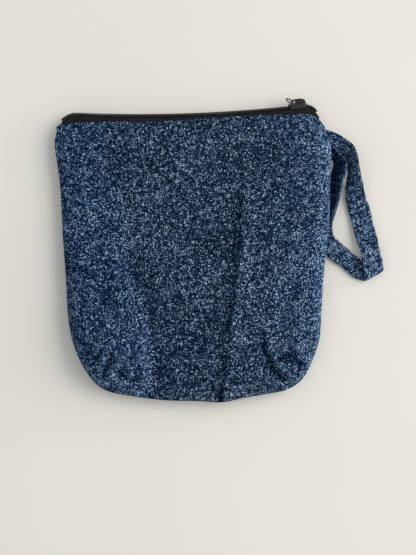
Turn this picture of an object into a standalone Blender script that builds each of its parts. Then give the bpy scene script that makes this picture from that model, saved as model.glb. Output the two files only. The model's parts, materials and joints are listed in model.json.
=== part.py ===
"""Zip pouch of speckled denim with a wrist strap, lying flat on its back.

Units are metres. +Z is up, +Y points at the zip, +X at the side that the strap is sewn to.
The origin is under the middle of the pouch, on the flat underside of the back panel.
"""
import bmesh
import bpy
import numpy as np
from math import asin, cos, pi, radians, sin

# The pouch as a whole
POUCH_WIDTH = 0.1948
POUCH_LENGTH = 0.1942
CLOTH = 0.0012
SEAM_HEIGHT = 0.0075
CLEARANCE = 0.0003

# Front panel: rounding at the seams, height of the flat middle and of the zip's hem
FRONT_EDGE = 0.018
FRONT_HEIGHT = 0.0138
HEM_HEIGHT = 0.0134
HEM_EDGE = 0.014
HEM_BLEND = 0.030

# Back panel: rounding at the seams, wider where the strap lies under the edge
BACK_EDGE = 0.012
STRAP_LIFT = 0.014
STRAP_LIFT_BELOW_ROOT = 0.0595
STRAP_LIFT_REACH = 0.034

# Soft folds of the front panel; the fades are shares of the half length, from full to none
LEFT_PUFF_RISE = 0.0050
LEFT_PUFF_FALL = 0.020
LEFT_PUFF_FADE = (-0.75, 0.35)
CREST_RISE = 0.0040
CREST_LEFT_RUN = 0.0085
CREST_RIGHT_RUN = 0.016
CREST_ROUNDING = 0.0008
CREST_FADE = (0.30, 0.68)
RIGHT_PUFF_RISE = 0.0024
RIGHT_PUFF_RUN = 0.0675
RIGHT_PUFF_FADE = (0.35, 0.90)

# Slight waves of the cloth: length and rise of each kind, how many of each, and their bend
WAVES = [(0.070, 0.00024), (0.038, 0.00016)]
WAVE_COUNT = 3
WAVE_BEND = 0.25
WAVE_BEND_LENGTH = 2.3
WAVE_SEED = 3

# Zip: bow of its line, chain and tapes
ZIP_BOW_RADIUS = 0.9658
ZIP_BOW_X = -0.02375
ZIP_STANDS_OUT = 0.0055
ZIP_TILT = radians(25)
ZIP_LEFT_X = -0.0800
ZIP_LEFT_RADIUS = 0.0130
ZIP_LEFT_TURN = radians(63)
ZIP_RIGHT_X = 0.0800
ZIP_RIGHT_RADIUS = 0.0075
ZIP_RIGHT_TURN = radians(60)
TAPE_END_RUN = 0.0054
TAPE_END_INWARD = 0.0020
COIL_END_RUN = 0.0012
COIL_LEFT_SHORT = radians(12)
COIL_GAP = 0.0016
COIL_WIDTH = 0.0023
COIL_HEIGHT = 0.0019
COIL_SEAT = -0.0005
COIL_ROUNDING = 0.00057
TAPE = 0.0005
TAPE_SLOT_REACH = 0.0047
TAPE_UNDER_HEM = 0.0060
TAPE_UNDER_HEM_AT_END = 0.0024
TAPE_INTO_HEM = 0.0010
TAPE_BACK_BEND = 0.0004
TAPE_END_EASE = 0.0011
END_FLATTENING = 0.5
ZIP_STEPS = 30
COIL_END_STEPS = 5
TAPE_END_STEPS = 6

# Slider: two plates, side flanges and the post between the tapes
SLIDER_X = 0.0748
SLIDER_LENGTH = 0.0130
SLIDER_WIDTH = 0.0084
SLIDER_CORNER = 0.00156
SLIDER_PLATE = 0.0011
SLIDER_FLANGE = 0.0007
SLIDER_RUN = 0.0004
POST_WIDTH = 0.0008
POST_LENGTH = 0.0025

# Crown on the slider; its lines are shares of its slope along and of its rise below the top
CROWN_LEFT = -0.0050
CROWN_RIGHT = 0.0060
CROWN_RISE = 0.0028
CROWN_SLOPE = 0.0020
CROWN_WIDTH = 0.0014
CROWN_STRIP = 0.0012
CROWN_LEFT_FOOT = 0.00144
CROWN_RIGHT_FOOT = 0.00132
CROWN_LEFT_LINE = [(0.6, 0.265), (1.0, 0.093), (1.5, 0.0)]
CROWN_RIGHT_LINE = [(1.5, 0.0), (0.8, 0.132), (0.2, 0.424)]

# Wire ring pull: it hangs from the crown, rolled towards the back
PULL_WIRE = 0.0009
PULL_RADIUS = 0.0029
PULL_PLAY = 0.0004
PULL_ABOVE_PLATE = 0.00085
PULL_ROLL = radians(18)
PULL_ANGLE = radians(150)
PULL_SIDES = 8
PULL_STEPS = 24

# Wrist strap
STRAP_THICKNESS = 0.0026
STRAP_ROUNDING = 0.00078
STRAP_STEPS = 4

# Outline of the pouch seen from above, as shares of the half width and the half length
LEFT_SEAM = [(-0.971, 0.983), (-0.989, 0.865), (-0.968, 0.740), (-0.939, 0.536),
             (-0.917, 0.206), (-0.888, -0.131), (-0.866, -0.414), (-0.817, -0.618)]
LEFT_CORNER = (-0.716, -0.806)
BOTTOM_SEAM = [(-0.601, -0.908), (-0.411, -0.952), (-0.169, -0.984), (0.052, -0.990),
               (0.205, -0.998), (0.370, -0.967), (0.565, -0.936), (0.678, -0.904)]
RIGHT_CORNER = (0.778, -0.822)
RIGHT_SEAM = [(0.854, -0.671), (0.893, -0.542), (0.907, -0.374), (0.932, -0.091),
              (0.971, 0.195), (0.992, 0.498), (1.006, 0.791), (0.995, 0.886),
              (0.970, 0.963), (0.936, 1.001)]
HEM_LINE = [(-0.971, 0.983), (-0.929, 0.992), (-0.850, 0.995), (-0.565, 1.003),
            (-0.277, 1.000), (0.000, 1.013), (0.431, 1.035), (0.719, 1.043),
            (0.821, 1.042), (0.888, 1.029), (0.936, 1.001)]

# Fold lines as shares of the half width and the half length
LEFT_VALLEY = [(-0.585, 0.720), (-0.450, 0.360), (-0.370, -0.130), (-0.310, -0.300),
               (-0.250, -0.620), (-0.240, -1.000)]
RIGHT_CREST = [(0.385, 0.700), (0.372, 0.400), (0.345, 0.090), (0.275, -0.490),
               (0.215, -1.000)]

# Wrinkles at the boxed corners: their lines as shares, then half width and rise in units
WRINKLE_UNIT = 0.001
CORNER_WRINKLES = [
    ([(-0.623, -0.600), (-0.672, -0.649)], 3.0, 1.2),
    ([(-0.581, -0.649), (-0.623, -0.778)], 2.8, 1.6),
    ([(-0.568, -0.692), (-0.596, -0.770)], 2.6, -1.6),
    ([(-0.483, -0.690), (-0.560, -0.803)], 3.2, 1.6),
    ([(-0.370, -0.778), (-0.400, -0.855)], 3.0, -1.2),
    ([(0.491, -0.587), (0.511, -0.680), (0.560, -0.778), (0.630, -0.840)], 3.4, -2.2),
    ([(0.623, -0.692), (0.665, -0.680), (0.742, -0.721)], 3.0, -1.6),
    ([(0.708, -0.536), (0.757, -0.635)], 3.4, 1.4),
]

# Lines of the panels' meshes: angles round their edges, then shares of the width and length
FRONT_ANGLES = (0, 16, 34, 54, 74)
FRONT_ACROSS = [*np.linspace(0.105, 0.590, 12), 0.618, 0.634, 0.648, 0.660, 0.672, 0.688,
                *np.linspace(0.720, 0.895, 5)]
FRONT_UP = [*np.linspace(0.100, 0.260, 7), *np.linspace(0.300, 0.860, 11), 0.915, 0.960, 0.988]
BACK_ANGLES = (0, 25, 50, 75)
BACK_LIFT_ANGLES = (0, 12, 25, 40, 57, 75)
BACK_ACROSS = [*np.linspace(0.075, 0.845, 8)]
BACK_UP = [*np.linspace(0.080, 0.960, 13)]

# Wrist strap: its root on the right seam as shares, then its edges in units from that root.
# Each line has the edge that starts nearest the zip and the one that starts nearest the bottom.
STRAP_ROOT = (1.0082, 0.7981)
STRAP_UNIT = 0.001
STRAP_RULINGS = [
    ((-1.6, 13.4, 9.4), (0.7, 0.9, 9.0)),
    ((5.6, 11.2, 11.0), (4.8, -0.4, 6.6)),
    ((11.6, 7.4, 13.2), (8.4, -1.6, 3.4)),
    ((15.4, 1.2, 14.3), (11.8, -4.2, 2.2)),
    ((16.8, -6.6, 14.2), (13.4, -9.4, 1.8)),
    ((18.2, -15.4, 12.2), (11.3, -17.4, 1.6)),
    ((20.4, -24.0, 8.6), (9.8, -26.0, 1.6)),
    ((22.9, -32.2, 4.8), (9.6, -35.2, 1.7)),
    ((26.0, -41.8, 2.6), (12.0, -45.2, 1.7)),
    ((28.6, -55.2, 3.6), (14.6, -58.4, 2.8)),
    ((31.0, -67.6, 5.2), (18.0, -71.0, 4.7)),
    ((32.6, -77.6, 5.7), (20.0, -84.0, 5.5)),
    ((33.7, -82.6, 5.0), (20.7, -89.8, 4.9)),
    ((33.8, -84.4, 3.4), (20.6, -91.6, 3.4)),
    ((32.2, -84.6, 1.8), (19.0, -91.6, 1.8)),
    ((28.4, -83.6, 1.5), (15.8, -90.6, 1.5)),
    ((21.6, -79.4, 1.5), (11.4, -87.4, 1.5)),
    ((13.8, -72.8, 1.5), (5.0, -81.8, 1.5)),
    ((6.2, -66.4, 1.8), (-2.4, -76.0, 1.5)),
    ((0.6, -60.0, 2.4), (-6.8, -69.8, 1.5)),
    ((-0.4, -52.2, 4.4), (-7.0, -62.4, 1.6)),
    ((1.4, -44.2, 7.6), (-4.2, -54.0, 1.7)),
    ((3.6, -36.6, 10.8), (-0.2, -44.0, 1.7)),
    ((5.6, -28.6, 12.6), (3.0, -34.4, 1.8)),
    ((8.0, -20.6, 13.2), (6.2, -24.8, 1.8)),
    ((10.0, -13.4, 12.8), (8.2, -16.0, 1.9)),
    ((9.6, -7.4, 10.6), (8.0, -11.6, 2.2)),
    ((6.2, -2.6, 7.4), (5.0, -9.8, 3.6)),
    ((0.9, 1.6, 5.2), (0.5, -7.6, 5.4)),
]

DENIM_COLOUR = (0.050, 0.105, 0.235, 1.0)
ZIP_COLOUR = (0.012, 0.011, 0.014, 1.0)
SLIDER_COLOUR = (0.050, 0.045, 0.055, 1.0)


def material(name, colour, roughness, metallic):
    """A plain Principled material."""
    mat = bpy.data.materials.new(name)
    mat.use_nodes = True
    shader = mat.node_tree.nodes["Principled BSDF"]
    shader.inputs["Base Color"].default_value = colour
    shader.inputs["Roughness"].default_value = roughness
    shader.inputs["Metallic"].default_value = metallic
    return mat


def clear_scene():
    """Remove every object of the open scene."""
    for obj in list(bpy.data.objects):
        bpy.data.objects.remove(obj, do_unlink=True)


def add_object(name, points, faces, mat, smooth=True):
    """Make one mesh object from points and faces."""
    mesh = bpy.data.meshes.new(name)
    mesh.from_pydata([tuple(p) for p in points], [], faces)
    mesh.materials.append(mat)
    if smooth:
        mesh.shade_smooth()
        mesh.set_sharp_from_angle(angle=radians(40))
    obj = bpy.data.objects.new(name, mesh)
    bpy.context.scene.collection.objects.link(obj)
    return obj


# Curves and profiles

def catmull_rom(knots, steps):
    """Points of a smooth curve through the knots, with the same number of steps between each."""
    k = np.array(knots, dtype=float)
    k = np.vstack([2 * k[0] - k[1], k, 2 * k[-1] - k[-2]])
    points = []
    for i in range(1, len(k) - 2):
        for j in range(steps):
            t = j / steps
            points.append(0.5 * (2 * k[i] + (k[i + 1] - k[i - 1]) * t
                                 + (2 * k[i - 1] - 5 * k[i] + 4 * k[i + 1] - k[i + 2]) * t ** 2
                                 + (3 * k[i] - k[i - 1] - 3 * k[i + 1] + k[i + 2]) * t ** 3))
    points.append(k[-2])
    return np.array(points)


def along(curve, shares):
    """Points of a curve at shares of its length."""
    steps = np.hypot(*np.diff(curve, axis=0).T)
    run = np.concatenate([[0.0], np.cumsum(steps)])
    run /= run[-1]
    return np.stack([np.interp(shares, run, curve[:, i]) for i in range(curve.shape[1])], axis=-1)


def inset(curve, distance):
    """The curve moved to its left by a distance, in plan."""
    d = np.gradient(curve, axis=0)
    d /= np.hypot(d[:, 0], d[:, 1])[:, None]
    return curve + distance * np.stack([-d[:, 1], d[:, 0]], axis=-1)


def rounded(t):
    """Quarter ellipse: 0 at the seam, 1 and level from t = 1 on."""
    return np.sqrt(np.clip(1 - (1 - np.clip(t, 0, 1)) ** 2, 0, 1))


def smooth(low, high, x):
    """Smooth step from 0 at low to 1 at high."""
    t = np.clip((x - low) / (high - low), 0, 1)
    return t * t * (3 - 2 * t)


def scaled(shares):
    """Outline shares as metres."""
    return np.array(shares) * [POUCH_WIDTH / 2, POUCH_LENGTH / 2]


def offset_from(line, x, y):
    """How far x lies to the right of a fold line at the height y of the plan."""
    knots = catmull_rom(scaled(line), 6)[::-1]
    return x - np.interp(y, knots[:, 1], knots[:, 0])


# The pouch's plan: a patch between the two side seams, the bottom seam and the hem

STEPS = 8
SEAM = catmull_rom(scaled(LEFT_SEAM + [LEFT_CORNER] + BOTTOM_SEAM + [RIGHT_CORNER] + RIGHT_SEAM),
                   STEPS)
LEFT_END = len(LEFT_SEAM) * STEPS
RIGHT_START = (len(LEFT_SEAM) + 1 + len(BOTTOM_SEAM)) * STEPS
HEM = catmull_rom(scaled(HEM_LINE), STEPS)


class Patch:
    """Maps u (0 left to 1 right) and v (0 bottom to 1 zip) to the plan."""

    def __init__(self, seam_inset):
        seam = inset(SEAM, seam_inset)
        self.left = seam[:LEFT_END + 1][::-1]
        self.bottom = seam[LEFT_END:RIGHT_START + 1]
        self.right = seam[RIGHT_START:]
        hem = HEM.copy()
        span = (hem[:, 0] - hem[0, 0]) / (hem[-1, 0] - hem[0, 0])
        start, end = self.left[-1] - hem[0], self.right[-1] - hem[-1]
        self.top = hem + np.outer(1 - span, start) + np.outer(span, end)

    def plan(self, u, v):
        """Plan points for arrays of u and v."""
        left, right = along(self.left, v), along(self.right, v)
        low, high = along(self.bottom, u), along(self.top, u)
        u, v = u[..., None], v[..., None]
        corners = ((1 - u) * (1 - v) * self.bottom[0] + u * (1 - v) * self.bottom[-1]
                   + (1 - u) * v * self.top[0] + u * v * self.top[-1])
        return (1 - v) * low + v * high + (1 - u) * left + u * right - corners


def edge_lines(reach, size, angles):
    """Shares of a size at which an elliptic edge of the given reach is cut, seam first."""
    return [reach * (1 - cos(radians(a))) / size for a in angles]


def line_distance(x, y, knots):
    """Distance from plan points to a line of straight runs."""
    line = scaled(knots)
    nearest = np.full(x.shape, np.inf)
    for (x0, y0), (x1, y1) in zip(line, line[1:]):
        dx, dy = x1 - x0, y1 - y0
        t = np.clip(((x - x0) * dx + (y - y0) * dy) / (dx * dx + dy * dy), 0, 1)
        nearest = np.minimum(nearest, np.hypot(x - x0 - t * dx, y - y0 - t * dy))
    return nearest


def cloth_waves(x, y):
    """Slight waves that cloth lies in, from a few fixed directions."""
    random = np.random.default_rng(WAVE_SEED)
    waves = np.zeros(x.shape)
    for size, rise in WAVES:
        for angle in random.uniform(0, pi, WAVE_COUNT):
            phase = random.uniform(0, 2 * pi)
            beside = (x * sin(angle) - y * cos(angle)) / (WAVE_BEND_LENGTH * size)
            ahead = (x * cos(angle) + y * sin(angle)) / size
            bend = WAVE_BEND * np.sin(2 * pi * beside)
            waves = waves + rise * np.sin(2 * pi * (ahead + bend) + phase)
    return waves


def front_crown(x, y):
    """Height of the front panel away from its edges, folds and all."""
    share = y / (POUCH_LENGTH / 2)
    from_valley = offset_from(LEFT_VALLEY, x, y)
    from_crest = offset_from(RIGHT_CREST, x, y)
    puff = 1 - smooth(-LEFT_PUFF_FALL, 0, from_valley)
    height = FRONT_HEIGHT + LEFT_PUFF_RISE * puff * (1 - smooth(*LEFT_PUFF_FADE, share))
    crest_run = np.where(from_crest < 0, CREST_LEFT_RUN, CREST_RIGHT_RUN)
    away = np.hypot(from_crest, CREST_ROUNDING) - CREST_ROUNDING
    crest = np.exp(-away / crest_run) * (1 - smooth(*CREST_FADE, share))
    swell = smooth(0, RIGHT_PUFF_RUN, from_crest) * (1 - smooth(*RIGHT_PUFF_FADE, share))
    height = height + CREST_RISE * crest + RIGHT_PUFF_RISE * swell
    for knots, reach, rise in CORNER_WRINKLES:
        distance = line_distance(x, y, knots) / (reach * WRINKLE_UNIT)
        height = height + rise * WRINKLE_UNIT * np.exp(-distance ** 2)
    return height + cloth_waves(x, y)


def hem_height(x):
    """Top of the front hem above the floor: down to the seam at both ends of the zip."""
    left, right = HEM[0, 0], HEM[-1, 0]
    rise = rounded((x - left) / HEM_EDGE) * rounded((right - x) / HEM_EDGE)
    return SEAM_HEIGHT + (HEM_HEIGHT - SEAM_HEIGHT) * rise


def back_hem_height(x):
    """Inner face of the back panel at its hem: up to the seam at both ends of the zip."""
    left, right = HEM[0, 0], HEM[-1, 0]
    share = (x - left) / (right - left)
    fall = rounded(share * POUCH_WIDTH / BACK_EDGE) * rounded((1 - share) * POUCH_WIDTH / BACK_EDGE)
    return SEAM_HEIGHT - (SEAM_HEIGHT - CLOTH) * fall


def front_layer(u, v, cloth):
    """The front panel's outer face, or its inner face when a cloth thickness is given."""
    seam = SEAM_HEIGHT + CLEARANCE / 2
    plan = Patch(cloth).plan(u, v)
    x, y = plan[..., 0], plan[..., 1]
    sides = rounded(u * POUCH_WIDTH / FRONT_EDGE) * rounded((1 - u) * POUCH_WIDTH / FRONT_EDGE)
    bottom = rounded(v * POUCH_LENGTH / FRONT_EDGE)
    near_hem = smooth(1 - HEM_BLEND / POUCH_LENGTH, 1, v)
    body = (front_crown(x, y) - cloth - seam) * sides * bottom
    hem_sides = np.where(v > 1 - 1e-9, 1.0, np.maximum(sides, near_hem))
    hem = (hem_height(x) - cloth - seam) * hem_sides
    hem = np.clip(hem, 0, None)
    z = seam + (1 - near_hem) * body + near_hem * hem
    return np.stack([x, y, z], axis=-1)


def back_layer(u, v, cloth):
    """The back panel's outer face on the floor, or its inner face."""
    seam = SEAM_HEIGHT - CLEARANCE / 2
    plan = Patch(cloth).plan(u, v)
    x, y = plan[..., 0], plan[..., 1]
    lift_y = scaled(STRAP_ROOT)[1] - STRAP_LIFT_BELOW_ROOT
    lift = 1 - smooth(0, STRAP_LIFT_REACH, np.abs(y - lift_y))
    right_reach = BACK_EDGE + STRAP_LIFT * lift
    sides = rounded(u * POUCH_WIDTH / BACK_EDGE) * rounded((1 - u) * POUCH_WIDTH / right_reach)
    bottom = rounded(v * POUCH_LENGTH / BACK_EDGE)
    z = seam - (seam - cloth) * sides * bottom
    return np.stack([x, y, z], axis=-1)


def shell(name, outer, inner, mat):
    """A closed sheet between two faces given as grids of points."""
    rows, columns = outer.shape[:2]
    count = rows * columns
    points = np.concatenate([outer.reshape(-1, 3), inner.reshape(-1, 3)])

    def at(row, column, layer):
        return layer * count + row * columns + column

    faces = []
    for i in range(rows - 1):
        for j in range(columns - 1):
            faces.append((at(i, j, 0), at(i, j + 1, 0), at(i + 1, j + 1, 0), at(i + 1, j, 0)))
            faces.append((at(i, j, 1), at(i + 1, j, 1), at(i + 1, j + 1, 1), at(i, j + 1, 1)))
    rim = [(0, j) for j in range(columns)] + [(i, columns - 1) for i in range(1, rows)]
    rim += [(rows - 1, j) for j in range(columns - 2, -1, -1)] + [(i, 0) for i in range(rows - 2, 0, -1)]
    for a, b in zip(rim, rim[1:] + rim[:1]):
        faces.append((at(*b, 0), at(*a, 0), at(*a, 1), at(*b, 1)))
    return add_object(name, points, faces, mat)


def flipped(grid):
    """The grid read from right to left, which turns its faces over."""
    return grid[:, ::-1]


def make_front_panel(mat):
    """Front panel: fine lines at the seams, at the crest and in the wrinkled corners."""
    side = edge_lines(FRONT_EDGE, POUCH_WIDTH, FRONT_ANGLES)
    low = edge_lines(FRONT_EDGE, POUCH_LENGTH, FRONT_ANGLES)
    u = np.array(side + FRONT_ACROSS + [1 - s for s in side[::-1]])
    v = np.array(low + FRONT_UP + [1.0])
    grid_u, grid_v = np.meshgrid(u, v)
    outer = front_layer(grid_u, grid_v, 0.0)
    inner = front_layer(grid_u, grid_v, CLOTH)
    return shell("front_panel", outer, inner, mat)


def make_back_panel(mat):
    """Back panel: flat on the floor, turned up to the seams."""
    left = edge_lines(BACK_EDGE, POUCH_WIDTH, BACK_ANGLES)
    right = edge_lines(BACK_EDGE + STRAP_LIFT, POUCH_WIDTH, BACK_LIFT_ANGLES)
    low = edge_lines(BACK_EDGE, POUCH_LENGTH, BACK_ANGLES)
    u = np.array(left + BACK_ACROSS + [1 - s for s in right[::-1]])
    v = np.array(low + BACK_UP + [1.0])
    grid_u, grid_v = np.meshgrid(u, v)
    outer = back_layer(grid_u, grid_v, 0.0)
    inner = back_layer(grid_u, grid_v, CLOTH)
    return shell("back_panel", flipped(outer), flipped(inner), mat)


# The zip's line and what follows it

ZIP_LOW_Y = POUCH_LENGTH / 2 + ZIP_STANDS_OUT
ZIP_CENTRE = np.array([ZIP_BOW_X, ZIP_LOW_Y + ZIP_BOW_RADIUS])


def zip_frame(x):
    """Plan point on the bowed zip line at x, and its outward direction."""
    lean = asin((x - ZIP_BOW_X) / ZIP_BOW_RADIUS)
    outward = np.array([-sin(lean), cos(lean)])
    return ZIP_CENTRE - ZIP_BOW_RADIUS * outward, outward


def turned(direction, angle):
    """A plan direction turned anticlockwise."""
    return np.array([direction[0] * cos(angle) - direction[1] * sin(angle),
                     direction[0] * sin(angle) + direction[1] * cos(angle)])


def zip_path(left_turn, right_run, bow_steps, end_steps):
    """Stations along the zip from left to right: plan point, outward direction, how far into
    its end the station is, from 0 to 1, and the place along X where its tape meets the hem."""
    point, outward = zip_frame(ZIP_LEFT_X)
    pivot = point - ZIP_LEFT_RADIUS * outward
    left_hem = (pivot + ZIP_LEFT_RADIUS * turned(outward, left_turn))[0] + TAPE_END_INWARD
    stations = []
    for i in range(end_steps, 0, -1):
        end = i / end_steps
        facing = turned(outward, left_turn * end)
        hem_x = ZIP_LEFT_X + (left_hem - ZIP_LEFT_X) * end
        stations.append((pivot + ZIP_LEFT_RADIUS * facing, facing, end, hem_x))
    for x in np.linspace(ZIP_LEFT_X, ZIP_RIGHT_X, bow_steps + 1):
        stations.append((*zip_frame(x), 0.0, x))
    point, outward = zip_frame(ZIP_RIGHT_X)
    pivot = point - ZIP_RIGHT_RADIUS * outward
    facing = turned(outward, -ZIP_RIGHT_TURN)
    last = pivot + ZIP_RIGHT_RADIUS * facing + right_run * np.array([facing[1], -facing[0]])
    right_hem = last[0] - TAPE_END_INWARD
    for i in range(1, end_steps + 1):
        end = i / (end_steps + 1)
        facing = turned(outward, -ZIP_RIGHT_TURN * i / end_steps)
        hem_x = ZIP_RIGHT_X + (right_hem - ZIP_RIGHT_X) * end
        stations.append((pivot + ZIP_RIGHT_RADIUS * facing, facing, end, hem_x))
    stations.append((last, facing, 1.0, right_hem))
    return stations


def place(station, across, out):
    """Space point at a station: across the chain towards the front, out from its middle."""
    point, outward, end = station[:3]
    across = across * (1 - (1 - END_FLATTENING) * end)
    plan = point + (out * cos(ZIP_TILT) - across * sin(ZIP_TILT)) * outward
    return np.array([plan[0], plan[1],
                     SEAM_HEIGHT + out * sin(ZIP_TILT) + across * cos(ZIP_TILT)])


def sweep(name, rings, mat):
    """A closed solid through rings of points, with flat ends."""
    size = len(rings[0])
    points = np.concatenate(rings)
    faces = [tuple(range(size - 1, -1, -1))]
    for i in range(len(rings) - 1):
        for j in range(size):
            k = (j + 1) % size
            a, b = i * size, (i + 1) * size
            faces.append((a + j, a + k, b + k, b + j))
    last = (len(rings) - 1) * size
    faces.append(tuple(range(last, last + size)))
    return add_object(name, points, faces, mat)


def coil_section(side):
    """Rounded block that the coil fills; side is 1 for the front and -1 for the back."""
    near, far = COIL_GAP / 2, COIL_GAP / 2 + COIL_WIDTH
    low, high = COIL_SEAT, COIL_SEAT + COIL_HEIGHT
    soft = COIL_ROUNDING
    section = [(near, low), (far, low), (far, high - soft), (far - soft, high),
               (near + soft, high), (near, high - soft)]
    return [(side * across, out) for across, out in section]


def make_coil(name, side, mat):
    """One half of the chain, along the zip's path."""
    section = coil_section(side)
    left_turn = ZIP_LEFT_TURN - COIL_LEFT_SHORT
    stations = zip_path(left_turn, COIL_END_RUN, ZIP_STEPS, COIL_END_STEPS)
    rings = [np.array([place(station, *point) for point in section]) for station in stations]
    return sweep(name, rings, mat)


def tape_centre(station, side):
    """Centre line of a tape's section: under the coil, through the slot and under its hem."""
    point, outward, end, hem_x = station
    seat = COIL_SEAT - CLEARANCE - TAPE / 2
    line = [place(station, side * across, seat)
            for across in (COIL_GAP / 2, COIL_GAP / 2 + COIL_WIDTH, TAPE_SLOT_REACH)]
    hem = np.array([hem_x, np.interp(hem_x, HEM[:, 0], HEM[:, 1]) - TAPE_INTO_HEM])
    under_hem = TAPE_UNDER_HEM + (TAPE_UNDER_HEM_AT_END - TAPE_UNDER_HEM) * end
    back = np.array([0.0, -under_hem])
    bend = hem if side > 0 else point + TAPE_BACK_BEND * outward
    ease = CLEARANCE + TAPE / 2 + TAPE_END_EASE * end
    for plan in (bend, hem + back / 2, hem + back):
        over = float(hem_height(plan[0])) - CLOTH - ease
        under = float(back_hem_height(plan[0])) + ease
        line.append(np.array([plan[0], plan[1], over if side > 0 else under]))
    if side < 0:
        line[3][2] = min(line[3][2], line[2][2] - 2 * TAPE)
    return np.array(line)


def make_tape(name, side, mat):
    """One zip tape, from beside the middle of the chain to under its panel's hem."""
    stations = zip_path(ZIP_LEFT_TURN, TAPE_END_RUN, ZIP_STEPS, TAPE_END_STEPS)
    middle = np.array([tape_centre(station, side) for station in stations])
    normal = np.cross(np.gradient(middle, axis=0), np.gradient(middle, axis=1))
    normal /= np.linalg.norm(normal, axis=2)[..., None]
    return shell(name, middle + normal * TAPE / 2, middle - normal * TAPE / 2, mat)


# The slider

def slider_axes():
    """Middle of the slider on the chain, and its directions along, across and out."""
    point, outward = zip_frame(SLIDER_X)
    along_zip = np.array([outward[1], -outward[0], 0.0])
    out = np.array([outward[0] * cos(ZIP_TILT), outward[1] * cos(ZIP_TILT), sin(ZIP_TILT)])
    across = np.cross(out, along_zip)
    across = across if across[2] > 0 else -across
    return np.array([point[0], point[1], SEAM_HEIGHT]), along_zip, across, out


def slider_point(x, across_by, out_by):
    """Space point from a place on the slider."""
    middle, along_zip, across, out = slider_axes()
    return middle + x * along_zip + across_by * across + out_by * out


def plate_outline():
    """Plan of the slider's plates: a block with its corners cut."""
    half, wide, cut = SLIDER_LENGTH / 2, SLIDER_WIDTH / 2, SLIDER_CORNER
    return [(-half + cut, wide), (-half, wide - cut), (-half, -wide + cut), (-half + cut, -wide),
            (half - cut, -wide), (half, -wide + cut), (half, wide - cut), (half - cut, wide)]


def prism(name, outline, low, high, mat):
    """A block on the slider between two heights."""
    points = [slider_point(x, a, low) for x, a in outline]
    points += [slider_point(x, a, high) for x, a in outline]
    n = len(outline)
    faces = [tuple(range(n)), tuple(range(2 * n - 1, n - 1, -1))]
    faces += [(i, i + n, (i + 1) % n + n, (i + 1) % n) for i in range(n)]
    return add_object(name, points, faces, mat, smooth=False)


def face_outward(obj):
    """Turn the faces of a closed mesh outward."""
    bm = bmesh.new()
    bm.from_mesh(obj.data)
    bmesh.ops.recalc_face_normals(bm, faces=bm.faces)
    bm.to_mesh(obj.data)
    bm.free()


def join_solids(base, others):
    """Unite solids into the first one."""
    for other in others:
        face_outward(other)
    face_outward(base)
    for other in others:
        union = base.modifiers.new("union", "BOOLEAN")
        union.operation = "UNION"
        union.solver = "EXACT"
        union.object = other
    graph = bpy.context.evaluated_depsgraph_get()
    graph.update()
    united = bpy.data.meshes.new_from_object(base.evaluated_get(graph))
    base.modifiers.clear()
    base.data = united
    for other in others:
        bpy.data.objects.remove(other, do_unlink=True)
    return base


def slider_levels():
    """Heights of the slider's inner faces above and below the chain."""
    upper = COIL_SEAT + COIL_HEIGHT + SLIDER_RUN
    lower = COIL_SEAT - CLEARANCE - TAPE - SLIDER_RUN
    return lower, upper


def make_slider_body(mat):
    """Both plates, the flanges that hold the coils in, and the post between the tapes."""
    lower, upper = slider_levels()
    outline = plate_outline()
    top = prism("slider_body", outline, upper, upper + SLIDER_PLATE, mat)
    bottom = prism("bottom_plate", outline, lower - SLIDER_PLATE, lower, mat)
    half = SLIDER_LENGTH / 2 - SLIDER_CORNER
    flange_low = COIL_SEAT - CLEARANCE + SLIDER_RUN
    parts = [bottom]
    for side in (1, -1):
        near = side * (SLIDER_WIDTH / 2 - SLIDER_FLANGE)
        far = side * SLIDER_WIDTH / 2
        edge = [(-half, near), (half, near), (half, far), (-half, far)]
        parts.append(prism("flange", edge, flange_low, upper + SLIDER_PLATE / 2, mat))
    right = SLIDER_LENGTH / 2 - SLIDER_PLATE
    post = [(right - POST_LENGTH, -POST_WIDTH / 2), (right, -POST_WIDTH / 2),
            (right, POST_WIDTH / 2), (right - POST_LENGTH, POST_WIDTH / 2)]
    parts.append(prism("post", post, lower - SLIDER_PLATE / 2, upper + SLIDER_PLATE / 2, mat))
    return join_solids(top, parts)


def crown_profile():
    """Side view of the crown's strip: outer line, then inner line back."""
    foot = slider_levels()[1] + SLIDER_PLATE + CLEARANCE
    outer = [(CROWN_LEFT, foot)]
    outer += [(CROWN_LEFT + CROWN_SLOPE * run, foot + CROWN_RISE * (1 - fall))
              for run, fall in CROWN_LEFT_LINE]
    outer += [(CROWN_RIGHT - CROWN_SLOPE * run, foot + CROWN_RISE * (1 - fall))
              for run, fall in CROWN_RIGHT_LINE]
    outer.append((CROWN_RIGHT, foot))
    line = np.array(outer)
    step = np.gradient(line, axis=0)
    step /= np.hypot(step[:, 0], step[:, 1])[:, None]
    inner = line + CROWN_STRIP * np.stack([step[:, 1], -step[:, 0]], axis=-1)
    inner[0] = (CROWN_LEFT + CROWN_LEFT_FOOT, foot)
    inner[-1] = (CROWN_RIGHT - CROWN_RIGHT_FOOT, foot)
    return outer, [tuple(p) for p in inner]


def make_slider_cap(mat):
    """The crown: a bent strip that stands on the top plate."""
    outer, inner = crown_profile()
    loop = outer + inner[::-1]
    half = CROWN_WIDTH / 2
    points = [slider_point(x, -half, n) for x, n in loop]
    points += [slider_point(x, half, n) for x, n in loop]
    n = len(loop)
    strips = len(outer) - 1
    faces = []
    for i in range(strips):
        a, b, c, d = i, i + 1, n - 2 - i, n - 1 - i
        faces.append((a, b, c, d))
        faces.append((d + n, c + n, b + n, a + n))
    faces += [(i, i + n, (i + 1) % n + n, (i + 1) % n) for i in range(n)]
    obj = add_object("slider_cap", points, faces, mat)
    face_outward(obj)
    return obj


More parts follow.
